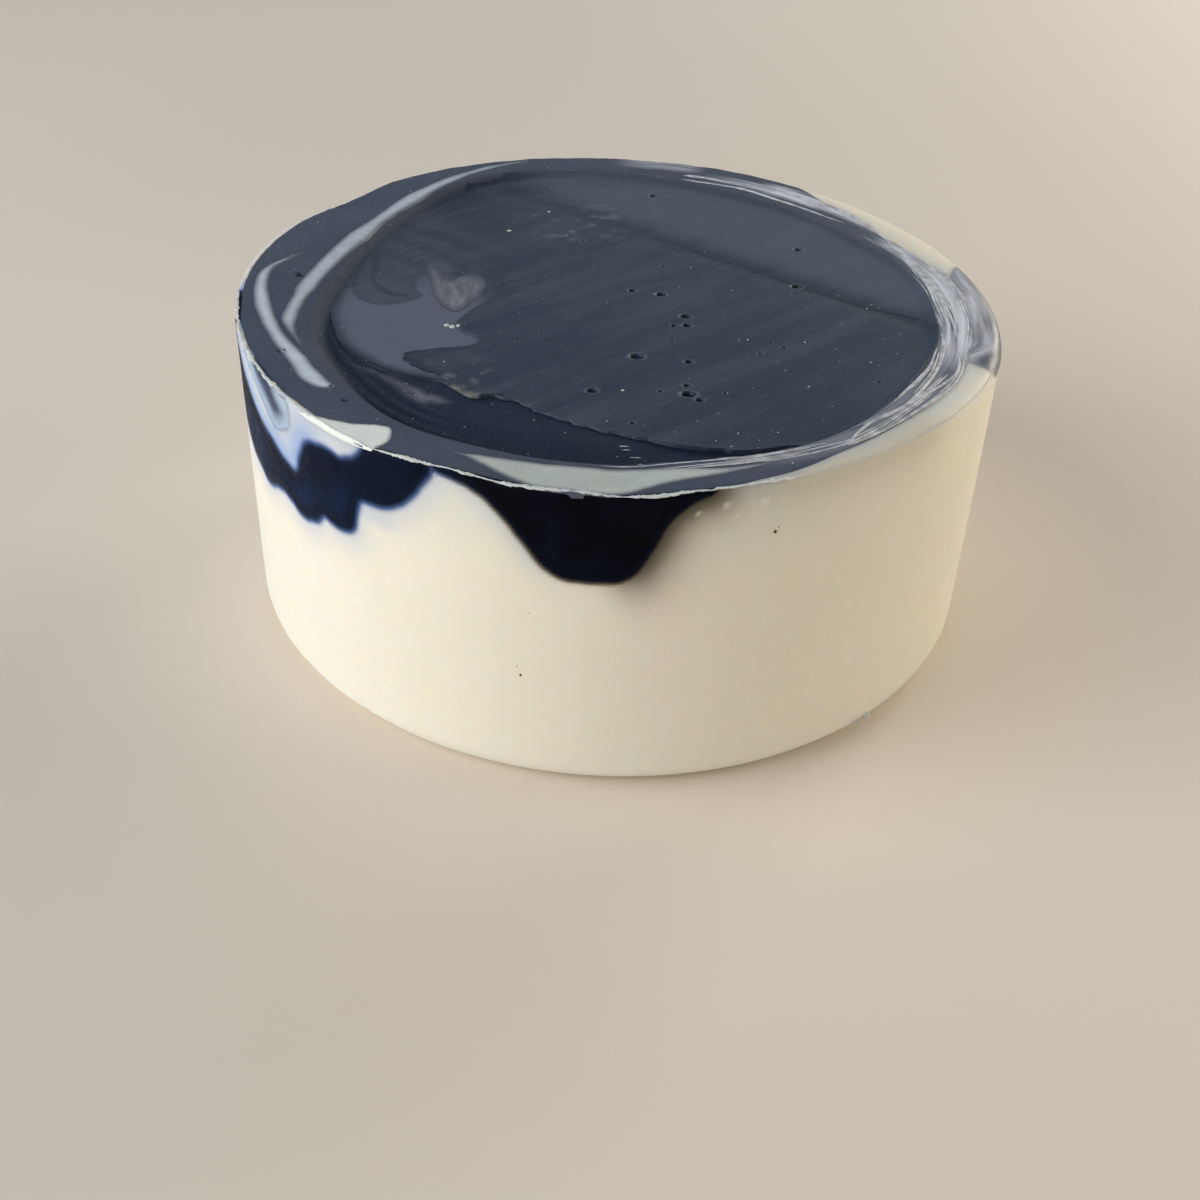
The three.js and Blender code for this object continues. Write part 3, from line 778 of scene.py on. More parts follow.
def run_material():
    material, tree, shader = new_material("charcoal_run")
    place = millimetres(tree)
    cloud = remap(tree, grain(tree, place, 0.3, 3.0), 0.4, 0.75)
    colour = blend(tree, cloud, (0.0010, 0.0014, 0.004), (0.0020, 0.0034, 0.010))
    colour = blend(tree, mark(tree, "blue"), colour, (0.006, 0.017, 0.055))
    dress(tree, shader, colour, mottle(tree, place, 1.0, 3.0, 0.40, 0.52),
          [(grain(tree, place, 0.35, 2.0), 0.08), (grain(tree, place, 7.0, 3.0), 0.005)])
    shine(shader, 0.10, 1.3)
    return material


def faded_material(name, inner, outer, veined=0.3, dark_share=0.72, gloss=0.5, flow=(0.0, 1.0), scatter=0.0):
    """Pale soap that thins out to the colour under it at its edges, by the fade mark.

    Its veins run along flow: an angle in degrees and how much they are drawn out.
    """
    material, tree, shader = new_material(name)
    place = millimetres(tree)
    vein_place = turned(tree, place, flow[0], (flow[1], 1.0, 1.0))
    vein = remap(tree, grain(tree, vein_place, 0.8, 4.0, 0.6), 0.35, 0.68)
    middle = tuple(channel * dark_share for channel in inner)
    colour = blend(tree, times(tree, vein, veined), inner, middle)
    colour = blend(tree, mark(tree, "fade"), outer, colour)
    dress(tree, shader, colour, mottle(tree, place, 3.0, 3.0, 0.38, 0.55),
          [(grain(tree, place, 3.0, 5.0, 0.7), 0.03), (grain(tree, place, 11.0, 3.0), 0.012)])
    shine(shader, gloss)
    soapy(shader, scatter, depth=4.5)
    return material


def patch_material():
    """The rim patch: dark and pale soap dragged along the rim, darkest at the outer edge."""
    material, tree, shader = new_material("patch_soap")
    place = millimetres(tree)
    flow = add_node(tree, "ShaderNodeCombineXYZ", {
        "X": times(tree, mark(tree, "arc"), 0.07),
        "Y": times(tree, mark(tree, "inset"), 0.6),
    }).outputs[0]
    streak = remap(tree, grain(tree, flow, 1.2, 3.0, 0.5), 0.30, 0.66)
    depth = remap(tree, mark(tree, "inset"), -0.3, 1.6)
    pale = times(tree, streak, depth)
    colour = blend(tree, pale, (0.080, 0.092, 0.120), (0.74, 0.74, 0.82))
    colour = blend(tree, mark(tree, "fade"), (0.36, 0.36, 0.38), colour)
    dress(tree, shader, colour, mottle(tree, place, 2.0, 3.0, 0.32, 0.46),
          [(streak, 0.03), (grain(tree, place, 8.0, 3.0), 0.008)])
    soapy(shader, 0.3, depth=1.5)
    return material


def flash_material():
    material, tree, shader = new_material("white_flash")
    place = millimetres(tree)
    crystals = remap(tree, grain(tree, place, 6.0, 3.0, 0.7), 0.35, 0.65)
    colour = blend(tree, crystals, (0.62, 0.64, 0.62), (0.97, 0.97, 0.94))
    dress(tree, shader, colour, 0.5, [(grain(tree, place, 9.0, 4.0, 0.7), 0.06)])
    soapy(shader, 0.5, depth=0.8)
    return material


# ---------------------------------------------------------------- pieces

front_run_loop = soft_loop(unrolled(FRONT_RUN), 0.22, 0.07, 1.6, 31)
left_run_loop = soft_loop(unrolled(LEFT_RUN), 0.22, 0.12, 1.4, 32)
stain_loop = soft_loop(unrolled(LEFT_STAIN), 0.22, 0.1, 1.2, 33)


def wall_marks(angle, along):
    """How far the charcoal shows through the ivory (tint), and how blue-white it looks (veil)."""
    place = stacked(np.radians(angle) * RADIUS, along)
    to_front = -depth_inside(place, front_run_loop)
    to_left = -depth_inside(place, left_run_loop)
    to_stain = -depth_inside(place, stain_loop)
    to_layer = along + charcoal_edge(angle)
    at_back = smoothstep(0.6, -0.6, charcoal_edge(angle))
    tint = np.maximum(1.0 - smoothstep(0.05, 1.1, to_front), 1.0 - smoothstep(0.0, 1.5, to_left))
    tint = np.maximum(tint, at_back * (1.0 - smoothstep(-0.1, 0.8, to_layer)))
    tint = np.maximum(tint, 0.05 * (1.0 - smoothstep(-0.8, 1.2, to_stain)))
    smoky = smoothstep(-95.0, -84.0, angle)
    tint = np.maximum(tint, (0.14 + 0.60 * smoky) * np.exp(-np.maximum(to_front, 0.0) / (1.1 + 1.8 * smoky)))
    right_rim = window(angle, -86.0, -72.0, -46.0, -30.0)
    tint = np.maximum(tint, 0.22 * right_rim * np.exp(-np.maximum(along - 1.0, 0.0) / 4.0))
    veil = (1.0 - 0.5 * smoothstep(-137.0, -130.0, angle)) * smoothstep(9.0, 7.0, along)
    veil = veil * bell(np.maximum(to_left, 0.0), 4.0) * smoothstep(-114.0, -122.0, angle)
    veil = np.maximum(veil, 0.42 * bell(np.maximum(to_left, 0.0), 2.6))
    veil = np.maximum(veil, 0.35 * bell(np.maximum(to_front, 0.0), 1.8) * smoothstep(-94.0, -102.0, angle))
    over_rim = smoothstep(1.0, 0.4, charcoal_edge(angle))
    veil = np.maximum(veil, 0.30 * bell(np.maximum(to_layer, 0.0), 1.6) * over_rim)
    cool = smoothstep(-104.0, -116.0, angle) + smoothstep(40.0, 60.0, angle)
    bubble = np.zeros(angle.shape)
    for at, drop, size in BUBBLES:
        away = np.hypot(np.radians(angle - at) * RADIUS, along - drop) / size
        bubble = np.maximum(bubble, 1.0 - smoothstep(0.3, 1.1, away))
    return {"tint": tint, "veil": veil, "cool": np.clip(cool, 0.0, 1.0), "bubble": bubble}


def wrapped(degrees):
    """Angles as the outlines give them, from -180 to 180."""
    return (degrees + 180.0) % 360.0 - 180.0


def make_ivory_body(material):
    columns = 720
    angle = wrapped(np.arange(columns) * 360.0 / columns)[None]
    corner = rim_round(angle)
    hidden = np.maximum(np.maximum(charcoal_edge(angle), 0.0) + 1.6, corner + 0.6)
    fine_end, straight_end = 13.0, HEIGHT - FOOT
    stages = [
        (-hidden, -corner, 14), (-corner, corner, 10), (corner, fine_end, 38),
        (fine_end, straight_end, 34),
    ]
    along = np.concatenate([
        start + (end - start) * (np.arange(count) / count)[:, None] + 0.0 * angle
        for start, end, count in stages
    ])
    angle = np.broadcast_to(angle, along.shape)
    under = -charcoal_edge(angle) - along
    outside = rim_surface(angle, along, -0.22 * smoothstep(0.0, 0.5, under))
    marks = wall_marks(angle, along)

    turn = np.radians(angle[:1])
    bend = np.linspace(0.0, math.pi / 2, 9)[:, None]
    foot_radius = wall_radius(angle[:1], FOOT) - FOOT + FOOT * np.cos(bend)
    foot_z = FOOT - FOOT * np.sin(bend) + 0.0 * turn
    foot = stacked(np.cos(turn) * foot_radius, np.sin(turn) * foot_radius, foot_z)
    floors = []
    for reach in (30.0, 20.0, 10.0):
        floors.append(stacked(np.cos(turn) * reach, np.sin(turn) * reach, 0.0 * turn))
    pocket_z = HEIGHT - LAYER_DEPTH - 0.6
    pocket = outside[:1].copy()
    pocket[..., 2] = pocket_z
    grid = np.concatenate([pocket, outside, foot, *floors])
    rows = len(grid)
    points = np.vstack([grid.reshape(-1, 3), [[0, 0, 0], [0, 0, pocket_z]]])
    faces = ring_faces(rows, columns)
    faces = [face[::-1] for face in faces]
    faces += fan_faces((rows - 1) * columns, columns, rows * columns, True)
    faces += fan_faces(0, columns, rows * columns + 1, False)
    before = columns
    rest = len(points) - before - angle.size
    values = {name: np.r_[np.zeros(before), value.ravel(), np.zeros(rest)] for name, value in marks.items()}
    body = build_mesh("ivory_body", points, faces, values)
    return finish_piece(body, material, "ivory_soap", "ivory_base")


def make_charcoal_layer(material):
    columns = 900
    angle = wrapped(np.arange(columns) * 360.0 / columns)[None]
    coarse = [3.0, 6.0, 9.0, 12.0, 15.0]
    fine_start = 16.5 - RADIUS
    edge = -charcoal_edge(angle) + 0.05 * noise(np.cos(np.radians(angle)) * RADIUS,
                                                 np.sin(np.radians(angle)) * RADIUS, 0.0, 0.8, 41)
    share = (np.arange(101) / 100.0)[:, None]
    along = np.concatenate([np.array(coarse)[:, None] - RADIUS + 0.0 * angle,
                            fine_start + (edge - fine_start) * share])
    angle = np.broadcast_to(angle, along.shape)
    to_edge = edge - along
    lift = -0.16 * (1.0 - smoothstep(0.0, 0.35, to_edge))
    face = rim_surface(angle, along, lift)
    tuck = rim_surface(angle[-1:], along[-1:], -0.5)
    inner = rim_surface(angle[-1:], np.minimum(along[-1:], 0.0) - 1.4, -0.5)
    floor_z = HEIGHT - LAYER_DEPTH
    inner[..., 2] = floor_z
    grid = np.concatenate([face, tuck, inner])
    rows = len(grid)
    centre_top = [0.0, 0.0, float(top_height(np.array(0.01), np.array(0.0)))]
    points = np.vstack([grid.reshape(-1, 3), [centre_top, [0.0, 0.0, floor_z]]])
    faces = [face_[::-1] for face_ in ring_faces(rows, columns)]
    faces += fan_faces(0, columns, rows * columns, False)
    faces += fan_faces((rows - 1) * columns, columns, rows * columns + 1, True)
    inset = -along
    flat_x, flat_y = face[..., 0], face[..., 1]
    smear = np.zeros(angle.shape)
    for share, angles, insets in PALE_SMEARS:
        smear = np.maximum(smear, share * window(angle, *angles) * window(inset, *insets))
    # Painted shade mask: one down the slope and over the floor of the recess.
    recess_shade = smoothstep(-0.2, 1.0, (inset - recess_edge(angle)) / recess_slope(angle))
    smudge = smoothstep(-0.2, 1.3, depth_inside(stacked(flat_x, flat_y), catmull(PALE_SMUDGE, True)))
    marks = {"smear": smear, "arc": np.radians(angle) * RADIUS, "inset": inset, "recess_shade": recess_shade, "smudge": smudge,
             "wall": smoothstep(0.3, 1.3, along)}
    rest = len(points) - smear.size
    values = {name: np.r_[value.ravel(), np.zeros(rest)] for name, value in marks.items()}
    layer = build_mesh("charcoal_layer_soap", points, faces, values)
    return finish_piece(layer, material, "charcoal_soap", "charcoal_layer")


def plateau_height(x, y):
    """The trowelled face: nearly flat, a little wavy, and level with the satin face at its upper left."""
    flat = HEIGHT - 0.72 + 0.008 * x + 0.03 * noise(x, y, 0.0, 11.0, 51) + 0.012 * noise(x, y, 0.0, 3.0, 52)
    points = stacked(x, y).reshape(-1, 2)
    near = line_distance(points, SATIN_BORDER, closed=False).reshape(np.shape(x))
    share = smoothstep(5.0, 1.0, near) * smoothstep(2.0, 7.0, y)
    return flat + (satin_height(x, y) - 0.02 + 0.05 * near - flat) * share


def satin_height(x, y):
    return HEIGHT - 0.98 + 0.03 * noise(x, y, 0.0, 8.0, 54)


SATIN_BORDER = np.array([(-11.9, 1.6), (-13.0, 12.0), (-16.8, 22.0), (-18.0, 28.0)])
crease_line = np.array(CREASE)
skin_edge_line = catmull(SKIN_EDGE, False, 5)


def crease_side(x, y):
    """Signed distance from the crease, positive on the far side."""
    (ax, ay), (bx, by) = CREASE[1], CREASE[3]
    length = math.hypot(bx - ax, by - ay)
    return ((bx - ax) * (y - ay) - (by - ay) * (x - ax)) / length


def skin_place(rise, edge_lift, floor=None):
    """Places a skin: on the plateau, over the recess floor, with a lifted lip at its edge."""
    def place(points, depth):
        x, y = points.T
        if depth[0] < 0.0:
            return stacked(x, y, top_height(x, y) + depth)
        bed = top_height(x, y) + 0.10
        flat = plateau_height(x, y) + rise if floor is None else floor(x, y)
        flat = flat + 0.014 * np.maximum(crease_side(x, y), 0.0)
        flat = flat - 0.13 * bell(crease_side(x, y), 1.1)
        soft = 0.12
        level = np.maximum(bed, flat) + soft * np.exp(-np.abs(bed - flat) / soft) * 0.5
        lip = edge_lift * bell(depth - 0.22, 0.16)
        joined = np.minimum(line_distance(points, crease_line, closed=False),
                            line_distance(points, SATIN_BORDER, closed=False))
        free = smoothstep(0.2, 1.0, joined)
        level = level + (lip - 0.35 * (1.0 - smoothstep(0.0, 0.14, depth))) * free
        level = level - 0.10 * outer_slope(x, y, depth)
        return stacked(x, y, level - pit_depth(x, y, PINHOLES))
    return place


# Painted shade inside the pinholes: one within each burst bubble.
def pinhole_shade_mark(points, _depth):
    total = np.zeros(len(points))
    for pit in PINHOLES:
        total = np.maximum(total, 1.0 - smoothstep(0.8, 1.05, pit_gap(*points.T, pit)))
    return total


def outer_slope(x, y, depth):
    """One where a skin thins out against the left slope of the recess, nought elsewhere."""
    return smoothstep(-18.0, -24.0, x + 0.3 * y) * (1.0 - smoothstep(0.0, 1.2, depth))


def pit_points():
    """Extra points round each pinhole."""
    points = []
    for x, y, size in PINHOLES:
        for ring in (0.0, 0.35, 0.6, 0.8, 1.0, 1.25, 1.5, 1.9):
            for step in range(14 if ring else 1):
                turn = 2 * math.pi * (step + 0.5 * ring) / 14
                points.append((x + math.cos(turn) * ring * size / 0.8, y + math.sin(turn) * ring * size))
    return np.array(points)


def recess_arc(start, end, extra, count=24):
    """Points along the recess edge between two angles, extra millimetres further in."""
    angles = np.linspace(start, end, count)
    return plan(stacked(angles, recess_edge(angles) + extra))


def hook_mark(points, _depth):
    """The dark commas stirred into the satin skin."""
    total = np.zeros(len(points))
    for hook, width, share in zip(HOOKS, (0.65, 0.9, 0.8), (1.0, 0.6, 1.0)):
        distance = line_distance(points, catmull(hook, False), closed=False)
        uneven = 1.0 + 0.35 * noise(points[:, 0], points[:, 1], 0.0, 1.1, 58)
        total = np.maximum(total, share * bell(distance, width * uneven))
    pool = depth_inside(points, catmull(HOOK_POOL, True))
    edge = smoothstep(-0.05, 0.3, pool) * (0.6 + 0.4 * np.exp(-np.maximum(pool, 0.0) / 0.6))
    fading = smoothstep(9.0, 3.0, points[:, 1])
    return np.clip(np.maximum(total, 0.9 * edge * fading), 0.0, 1.0)


def scuff_mark(points, _depth):
    """Dry, paler scrapes: in clumps near the crease's start and near the skin's ragged edge at the lower left,
    with pale rims round the pinholes.
    """
    x, y = points.T
    clumps = smoothstep(0.1, 0.9, fractal(x, y, 0.0, 1.1, 61, 4))
    where = bell(x + 4.0, 5.5) * bell(y - 20.0, 5.0)
    where = where + 0.7 * bell(x + 5.5, 2.4) * bell(y - 16.0, 1.2)
    torn = bell(np.hypot(x + 14.5, y + 18.0), 3.4)
    rims = np.zeros(len(points))
    for pit in PINHOLES:
        rims = np.maximum(rims, 0.5 * bell(pit_gap(x, y, pit) - 1.28, 0.16))
    return np.clip(0.55 * clumps * (where + torn) + rims, 0.0, 1.0)


def beyond_mark(points, _depth):
    """How far beyond the crease, where the face is lighter."""
    return smoothstep(0.2, 5.0, crease_side(*points.T))


def crease_shade_mark(points, _depth):
    """Painted shade in the soft groove of the crease, fading out to the upper left."""
    x, y = points.T
    width = 0.85 + 0.7 * smoothstep(4.0, -10.0, x)
    return bell(crease_side(x, y), width) * (0.45 + 0.55 * smoothstep(-14.0, 6.0, x))


def shade_mark(points, depth):
    """Dark bands at the upper left, and where a skin is bordered by the left slope."""
    x, y = points.T
    bands = smoothstep(-0.4, 0.5, noise(crease_side(x, y), 0.12 * (x - y), 0.0, 1.8, 62))
    where = smoothstep(-6.0, -18.0, x) * smoothstep(0.0, 11.0, y)
    return np.maximum(outer_slope(x, y, depth * 0.7), where * (0.45 + 0.4 * bands))


def nothing(points, _depth):
    return np.zeros(len(points))


def make_skins(material):
    ragged = resample(skin_edge_line, 0.16, closed=False)
    wobble = fractal(ragged[:, 0], ragged[:, 1], 0.0, 0.9, 71, 4)
    ragged = ragged + stacked(wobble, wobble * 0.8) * 0.16
    right = recess_arc(-58, -7, 0.25)
    near_loop = resample(np.vstack([ragged, right, crease_line[::-1], SATIN_BORDER[:0:-1]]), 0.2)
    far_loop = resample(np.vstack([crease_line, recess_arc(-3, 114, 0.2, 60)]), 0.25)
    satin_rim = np.vstack([recess_arc(122, 190, 1.4, 30), catmull(SATIN_EDGE, False)[::-1],
                           [(-9.0, -14.0), (-8.0, 0.0), (-8.5, 16.0), (-14.0, 31.0)]])
    satin_loop = resample(satin_rim, 0.25)

    def satin_mark(points, _depth):
        fade_up = 0.35 + 0.65 * smoothstep(12.0, -4.0, points[:, 1])
        return fade_up * smoothstep(0.3, 6.5, line_distance(points, SATIN_BORDER, closed=False))

    bare = dict.fromkeys(("satin", "hook", "scuff", "beyond", "crease", "shade", "pit"), nothing)
    marks = bare | {"scuff": scuff_mark, "beyond": beyond_mark, "crease": crease_shade_mark, "shade": shade_mark,
                    "pit": pinhole_shade_mark}
    satin_marks = bare | {"satin": satin_mark, "hook": hook_mark, "shade": shade_mark}
    add_patch("near_skin", material, "trowelled_skin", near_loop, 0.34, skin_place(0.0, 0.05), 0.9,
              (0.07, 0.16, 0.3), pit_points(), marks)
    add_patch("far_skin", material, "trowelled_skin", far_loop, 0.4, skin_place(0.03, 0.03), 0.9, (0.1, 0.25),
              pit_points(), marks)
    add_patch("satin_skin", material, "trowelled_skin", satin_loop, 0.34, skin_place(0.0, 0.0, satin_height), 0.9,
              (0.1, 0.25), marks=satin_marks)
    return near_loop, far_loop, satin_loop


def inlay_place(lift, height=top_height):
    """Places an inlay: just proud of the soap round it, its edge sunk."""
    def place(points, depth):
        x, y = points.T
        if depth[0] < 0.0:
            return stacked(x, y, height(x, y) + depth)
        return stacked(x, y, height(x, y) - 0.05 + (lift + 0.05) * smoothstep(0.0, 0.22, depth))
    return place


def fade_mark(width, strength=1.0):
    return lambda _points, depth: strength * smoothstep(0.02, width, depth)


def ribbon_loop(outline, seed):
    """The outline of a ribbon from [angle, inset, width] points along its middle."""
    knots = np.column_stack([plan([point[:2] for point in outline]), [point[2] for point in outline]])
    line, width = np.split(resample(catmull(knots, False, 12), 0.25, closed=False), [2], axis=1)
    along = np.gradient(line, axis=0)
    along /= np.linalg.norm(along, axis=1, keepdims=True)
    side = stacked(-along[:, 1], along[:, 0])
    half = width[:, 0] / 2 * (1.0 + 0.22 * noise(line[:, 0], line[:, 1], 0.0, 2.5, seed))
    return np.vstack([line + side * half[:, None], (line - side * half[:, None])[::-1]])


def make_land_inlays(wedge_material, ivory_fade, ribbon_material, heart_and_highlight_material):
    wedge = soft_loop(plan(FRONT_WEDGE), 0.2, 0.06, 1.4, 81)
    add_patch("front_ivory_wedge", wedge_material, "ivory_soap", wedge, 0.3, inlay_place(0.07), 0.5,
              (0.08, 0.2, 0.35), name="front_wedge_soap", marks={"fade": fade_mark(0.7)})
    wedge = soft_loop(rim_loop(LEFT_WEDGE), 0.2, 0.08, 1.2, 82)

    def wedge_fade(points, depth):
        return np.maximum(smoothstep(0.02, 0.5, depth), smoothstep(-0.5, -0.2, points[:, 1]))

    add_patch("left_ivory_wedge", ivory_fade, "ivory_soap", wedge, 0.3, wall_place(0.04), 0.5,
              name="left_wedge_soap", marks={"fade": wedge_fade})
    for node, outline, strength in (("inner_ribbon", INNER_RIBBON, 0.8), ("outer_ribbon", OUTER_RIBBON, 1.0)):
        add_patch(node, ribbon_material, "pale_smear", ribbon_loop(outline, 83), 0.28, inlay_place(0.06), 0.4,
                  marks={"fade": fade_mark(0.8, strength)})
    heart = soft_loop(HEART, 0.15, 0.08, 1.0, 84)
    add_patch("heart_smear", heart_and_highlight_material, "pale_smear", heart, 0.25, inlay_place(0.08, satin_height), 0.4,
              marks={"fade": fade_mark(1.5)})


def rim_loop(points):
    """[arc length, way down from the rim] of [angle, inset] points."""
    return [(math.radians(angle) * RADIUS, -inset) for angle, inset in points]


def wall_place(lift):
    def place(points, depth):
        angle = np.degrees(points[:, 0] / RADIUS)
        if depth[0] < 0.0:
            return rim_surface(angle, points[:, 1], depth)
        return rim_surface(angle, points[:, 1], -0.03 + (lift + 0.03) * smoothstep(0.0, 0.35, depth))
    return place


def make_wall_runs(material, stain_material):
    def blue_mark(points, depth):
        left = smoothstep(-112.0, -118.0, np.degrees(points[:, 0] / RADIUS))
        low = smoothstep(3.5, 8.5, points[:, 1])
        cloud = smoothstep(-0.5, 0.5, noise(points[:, 0], points[:, 1], 0.0, 3.2, 34))
        inner = smoothstep(0.0, 1.2, depth)
        return left * (0.35 + 0.65 * inner * low * cloud) + (1.0 - left) * 0.25 * low * cloud * inner

    def stain_fade(points, _depth):
        """Darkest under the rim, thinning out to the sides and below."""
        border = catmull(unrolled(LEFT_STAIN[1:] + LEFT_STAIN[:1]), False)
        return smoothstep(0.05, 2.5, line_distance(points, border, closed=False))

    for node, loop in (("front_run", front_run_loop), ("left_run", left_run_loop)):
        add_patch(node, material, "charcoal_run", loop, 0.3, wall_place(0.02), 0.6, (0.1, 0.2),
                  marks={"blue": blue_mark})
    add_patch("left_stain", stain_material, "charcoal_stain", stain_loop, 0.3, wall_place(0.02), 0.4, (0.1, 0.2),
              marks={"fade": stain_fade})


def make_rim_patch(material):
    loop = soft_loop(rim_loop(RIM_PATCH), 0.22, 0.12, 1.3, 85)

    def inset_mark(points, _depth):
        """The inset, less towards the front, where the patch stays dark."""
        return -points[:, 1] - 1.8 * smoothstep(-12.5, -19.0, np.degrees(points[:, 0] / RADIUS))

    marks = {"fade": fade_mark(0.8), "arc": lambda points, _depth: points[:, 0], "inset": inset_mark}
    add_patch("right_rim_patch", material, "charcoal_soap", loop, 0.3, wall_place(0.035), 0.5, (0.1, 0.25),
              marks=marks)


def make_flash(material):
    """The ragged white edge: a crust along the rim from left to front, then a hairline on to the right."""
    steps, sides = 2100, 10
    angle = np.linspace(*FLASH_SPAN, steps)[:, None]
    narrow = smoothstep(-68.0, -60.0, angle)
    share = np.linspace(0.0, 1.0, steps)[:, None]
    turn = np.radians(angle)
    x, y = np.cos(turn) * RADIUS, np.sin(turn) * RADIUS
    taper = np.minimum(smoothstep(0.0, 0.04, share), 1.0 - narrow)
    size = 0.115 + 0.075 * fractal(x, y, 0.0, 1.1, 91, 4)
    over_wedge = window(angle, -139.0, -136.0, -123.0, -120.0)
    size = np.maximum(size, 0.05) * (0.25 + 0.75 * taper) * (1.0 - 0.45 * over_wedge)
    size = size * (1.0 + 0.9 * bell(angle + 171.0, 4.0))
    hairline = (0.042 + 0.014 * noise(x, y, 0.0, 1.3, 95)) * (1.0 - 0.7 * smoothstep(0.95, 1.0, share))
    size = size + (hairline - size) * narrow
    drift = -0.16 + 0.10 * noise(x, y, 0.0, 2.2, 92) + 0.05 * noise(x, y, 0.0, 0.6, 93)
    spin = np.linspace(0.0, 2 * math.pi, sides, endpoint=False)[None]
    grit = 1.0 + 0.5 * noise(x + 0 * spin, y + np.cos(spin) * 0.4, np.sin(spin) * 0.4, 0.22, 94)
    centre = rim_surface(angle, drift, 0.05 - 0.035 * narrow)
    out = np.concatenate([np.cos(turn), np.sin(turn), 0.0 * turn], axis=1)[:, None, :]
    up = np.array([0.0, 0.0, 1.0])
    ring = (out * (np.cos(spin) * 1.15)[..., None] + up * (np.sin(spin) * 0.75)[..., None])
    points = centre + ring * (size * grit)[..., None]
    faces = ring_faces(steps, sides)
    faces += [list(range(sides))[::-1], [(steps - 1) * sides + side for side in range(sides)]]
    faces = [face[::-1] for face in faces]
    piece = build_mesh("rim_flash_soap", points.reshape(-1, 3), faces)
    finish_piece(piece, material, "white_flash", "rim_flash")


# Cross-section of a strand, as shares of its half width and its rise.
STRAND_ARCH = [(-1.0, -0.05), (-0.7, 0.55), (-0.2, 1.0), (0.4, 0.8), (0.85, 0.3), (1.0, -0.05), (0.5, -0.3),
               (-0.5, -0.3)]


def strand_points(angles, insets, width, rise, seed):
    """A thin raised strand on the top: rows of a low arch, and its quads."""
    line = plan(stacked(angles, insets))
    along = np.gradient(line, axis=0)
    along /= np.linalg.norm(along, axis=1, keepdims=True)
    side = stacked(-along[:, 1], along[:, 0])
    share = np.linspace(0.0, 1.0, len(line))
    vary = np.clip(0.75 + 0.5 * noise(line[:, 0], line[:, 1], 0.0, 2.0, seed), 0.2, 1.4)
    taper = np.sin(np.pi * share) ** 0.5
    half = width / 2 * vary * taper + 0.02
    sections = []
    for across, height in STRAND_ARCH:
        place = line + side * (half * across)[:, None]
        bed = np.maximum(top_height(place[:, 0], place[:, 1]), 0.0)
        z = bed + 0.02 + height * rise * vary * (0.15 + 0.85 * taper)
        sections.append(np.column_stack([place, z]))
    return np.stack(sections, axis=1)


def make_strands(node, material, lines, seed):
    """Scraped strands along the given lines, each with finer ones beside it."""
    picker = np.random.default_rng(seed)
    points, faces = [], []
    first = 0
    for width, line in lines:
        curve = catmull(line, False, 14)
        for companion in range(3 + int(width / 0.13)):
            begin, end = 0, len(curve)
            aside, size = 0.0, min(width, 0.34)
            if companion:
                begin = int(picker.uniform(0.0, 0.45) * len(curve))
                end = begin + int(picker.uniform(0.4, 0.55) * len(curve))
                aside, size = picker.uniform(-0.6, 0.7) * max(width, 0.5), picker.uniform(0.08, 0.22)
            angles, insets = curve[begin:end].T
            insets = insets + aside + 0.10 * noise(angles * 0.7, insets + aside * 9.0, 0.0, 4.0, seed)
            rows = strand_points(angles, insets, size, picker.uniform(0.05, 0.11), seed)
            steps, sides = rows.shape[:2]
            points.append(rows.reshape(-1, 3))
            faces += [[first + index for index in face] for face in ring_faces(steps, sides)]
            faces.append([first + side for side in range(sides)][::-1])
            faces.append([first + (steps - 1) * sides + side for side in range(sides)])
            first += steps * sides
    piece = build_mesh(node + "_soap", np.vstack(points), faces, {"fade": np.ones(first)})
    finish_piece(piece, material, "pale_smear", node)


def lump(centre, size, picker, stretch=(1.0, 1.0)):
    """A small uneven crumb: its points and faces."""
    points = [centre + np.array([0.0, 0.0, size[2]])]
    rows, columns = 3, 8
    for row in range(1, rows + 1):
        tilt = math.pi * row / (rows + 1)
        for column in range(columns):
            turn = 2.0 * math.pi * column / columns
            bulge = picker.uniform(0.75, 1.2)
            points.append(centre + bulge * np.array([
                math.cos(turn) * math.sin(tilt) * size[0], math.sin(turn) * math.sin(tilt) * size[1],
                math.cos(tilt) * size[2]]))
    points.append(centre - np.array([0.0, 0.0, size[2]]))
    faces = [[0, 1 + column, 1 + (column + 1) % columns] for column in range(columns)]
    for row in range(rows - 1):
        for column in range(columns):
            after = (column + 1) % columns
            low = 1 + (row + 1) * columns
            high = 1 + row * columns
            faces.append([high + column, low + column, low + after, high + after])
    last = 1 + (rows - 1) * columns
    faces += [[last + (column + 1) % columns, last + column, rows * columns + 1] for column in range(columns)]
    return np.array(points), faces


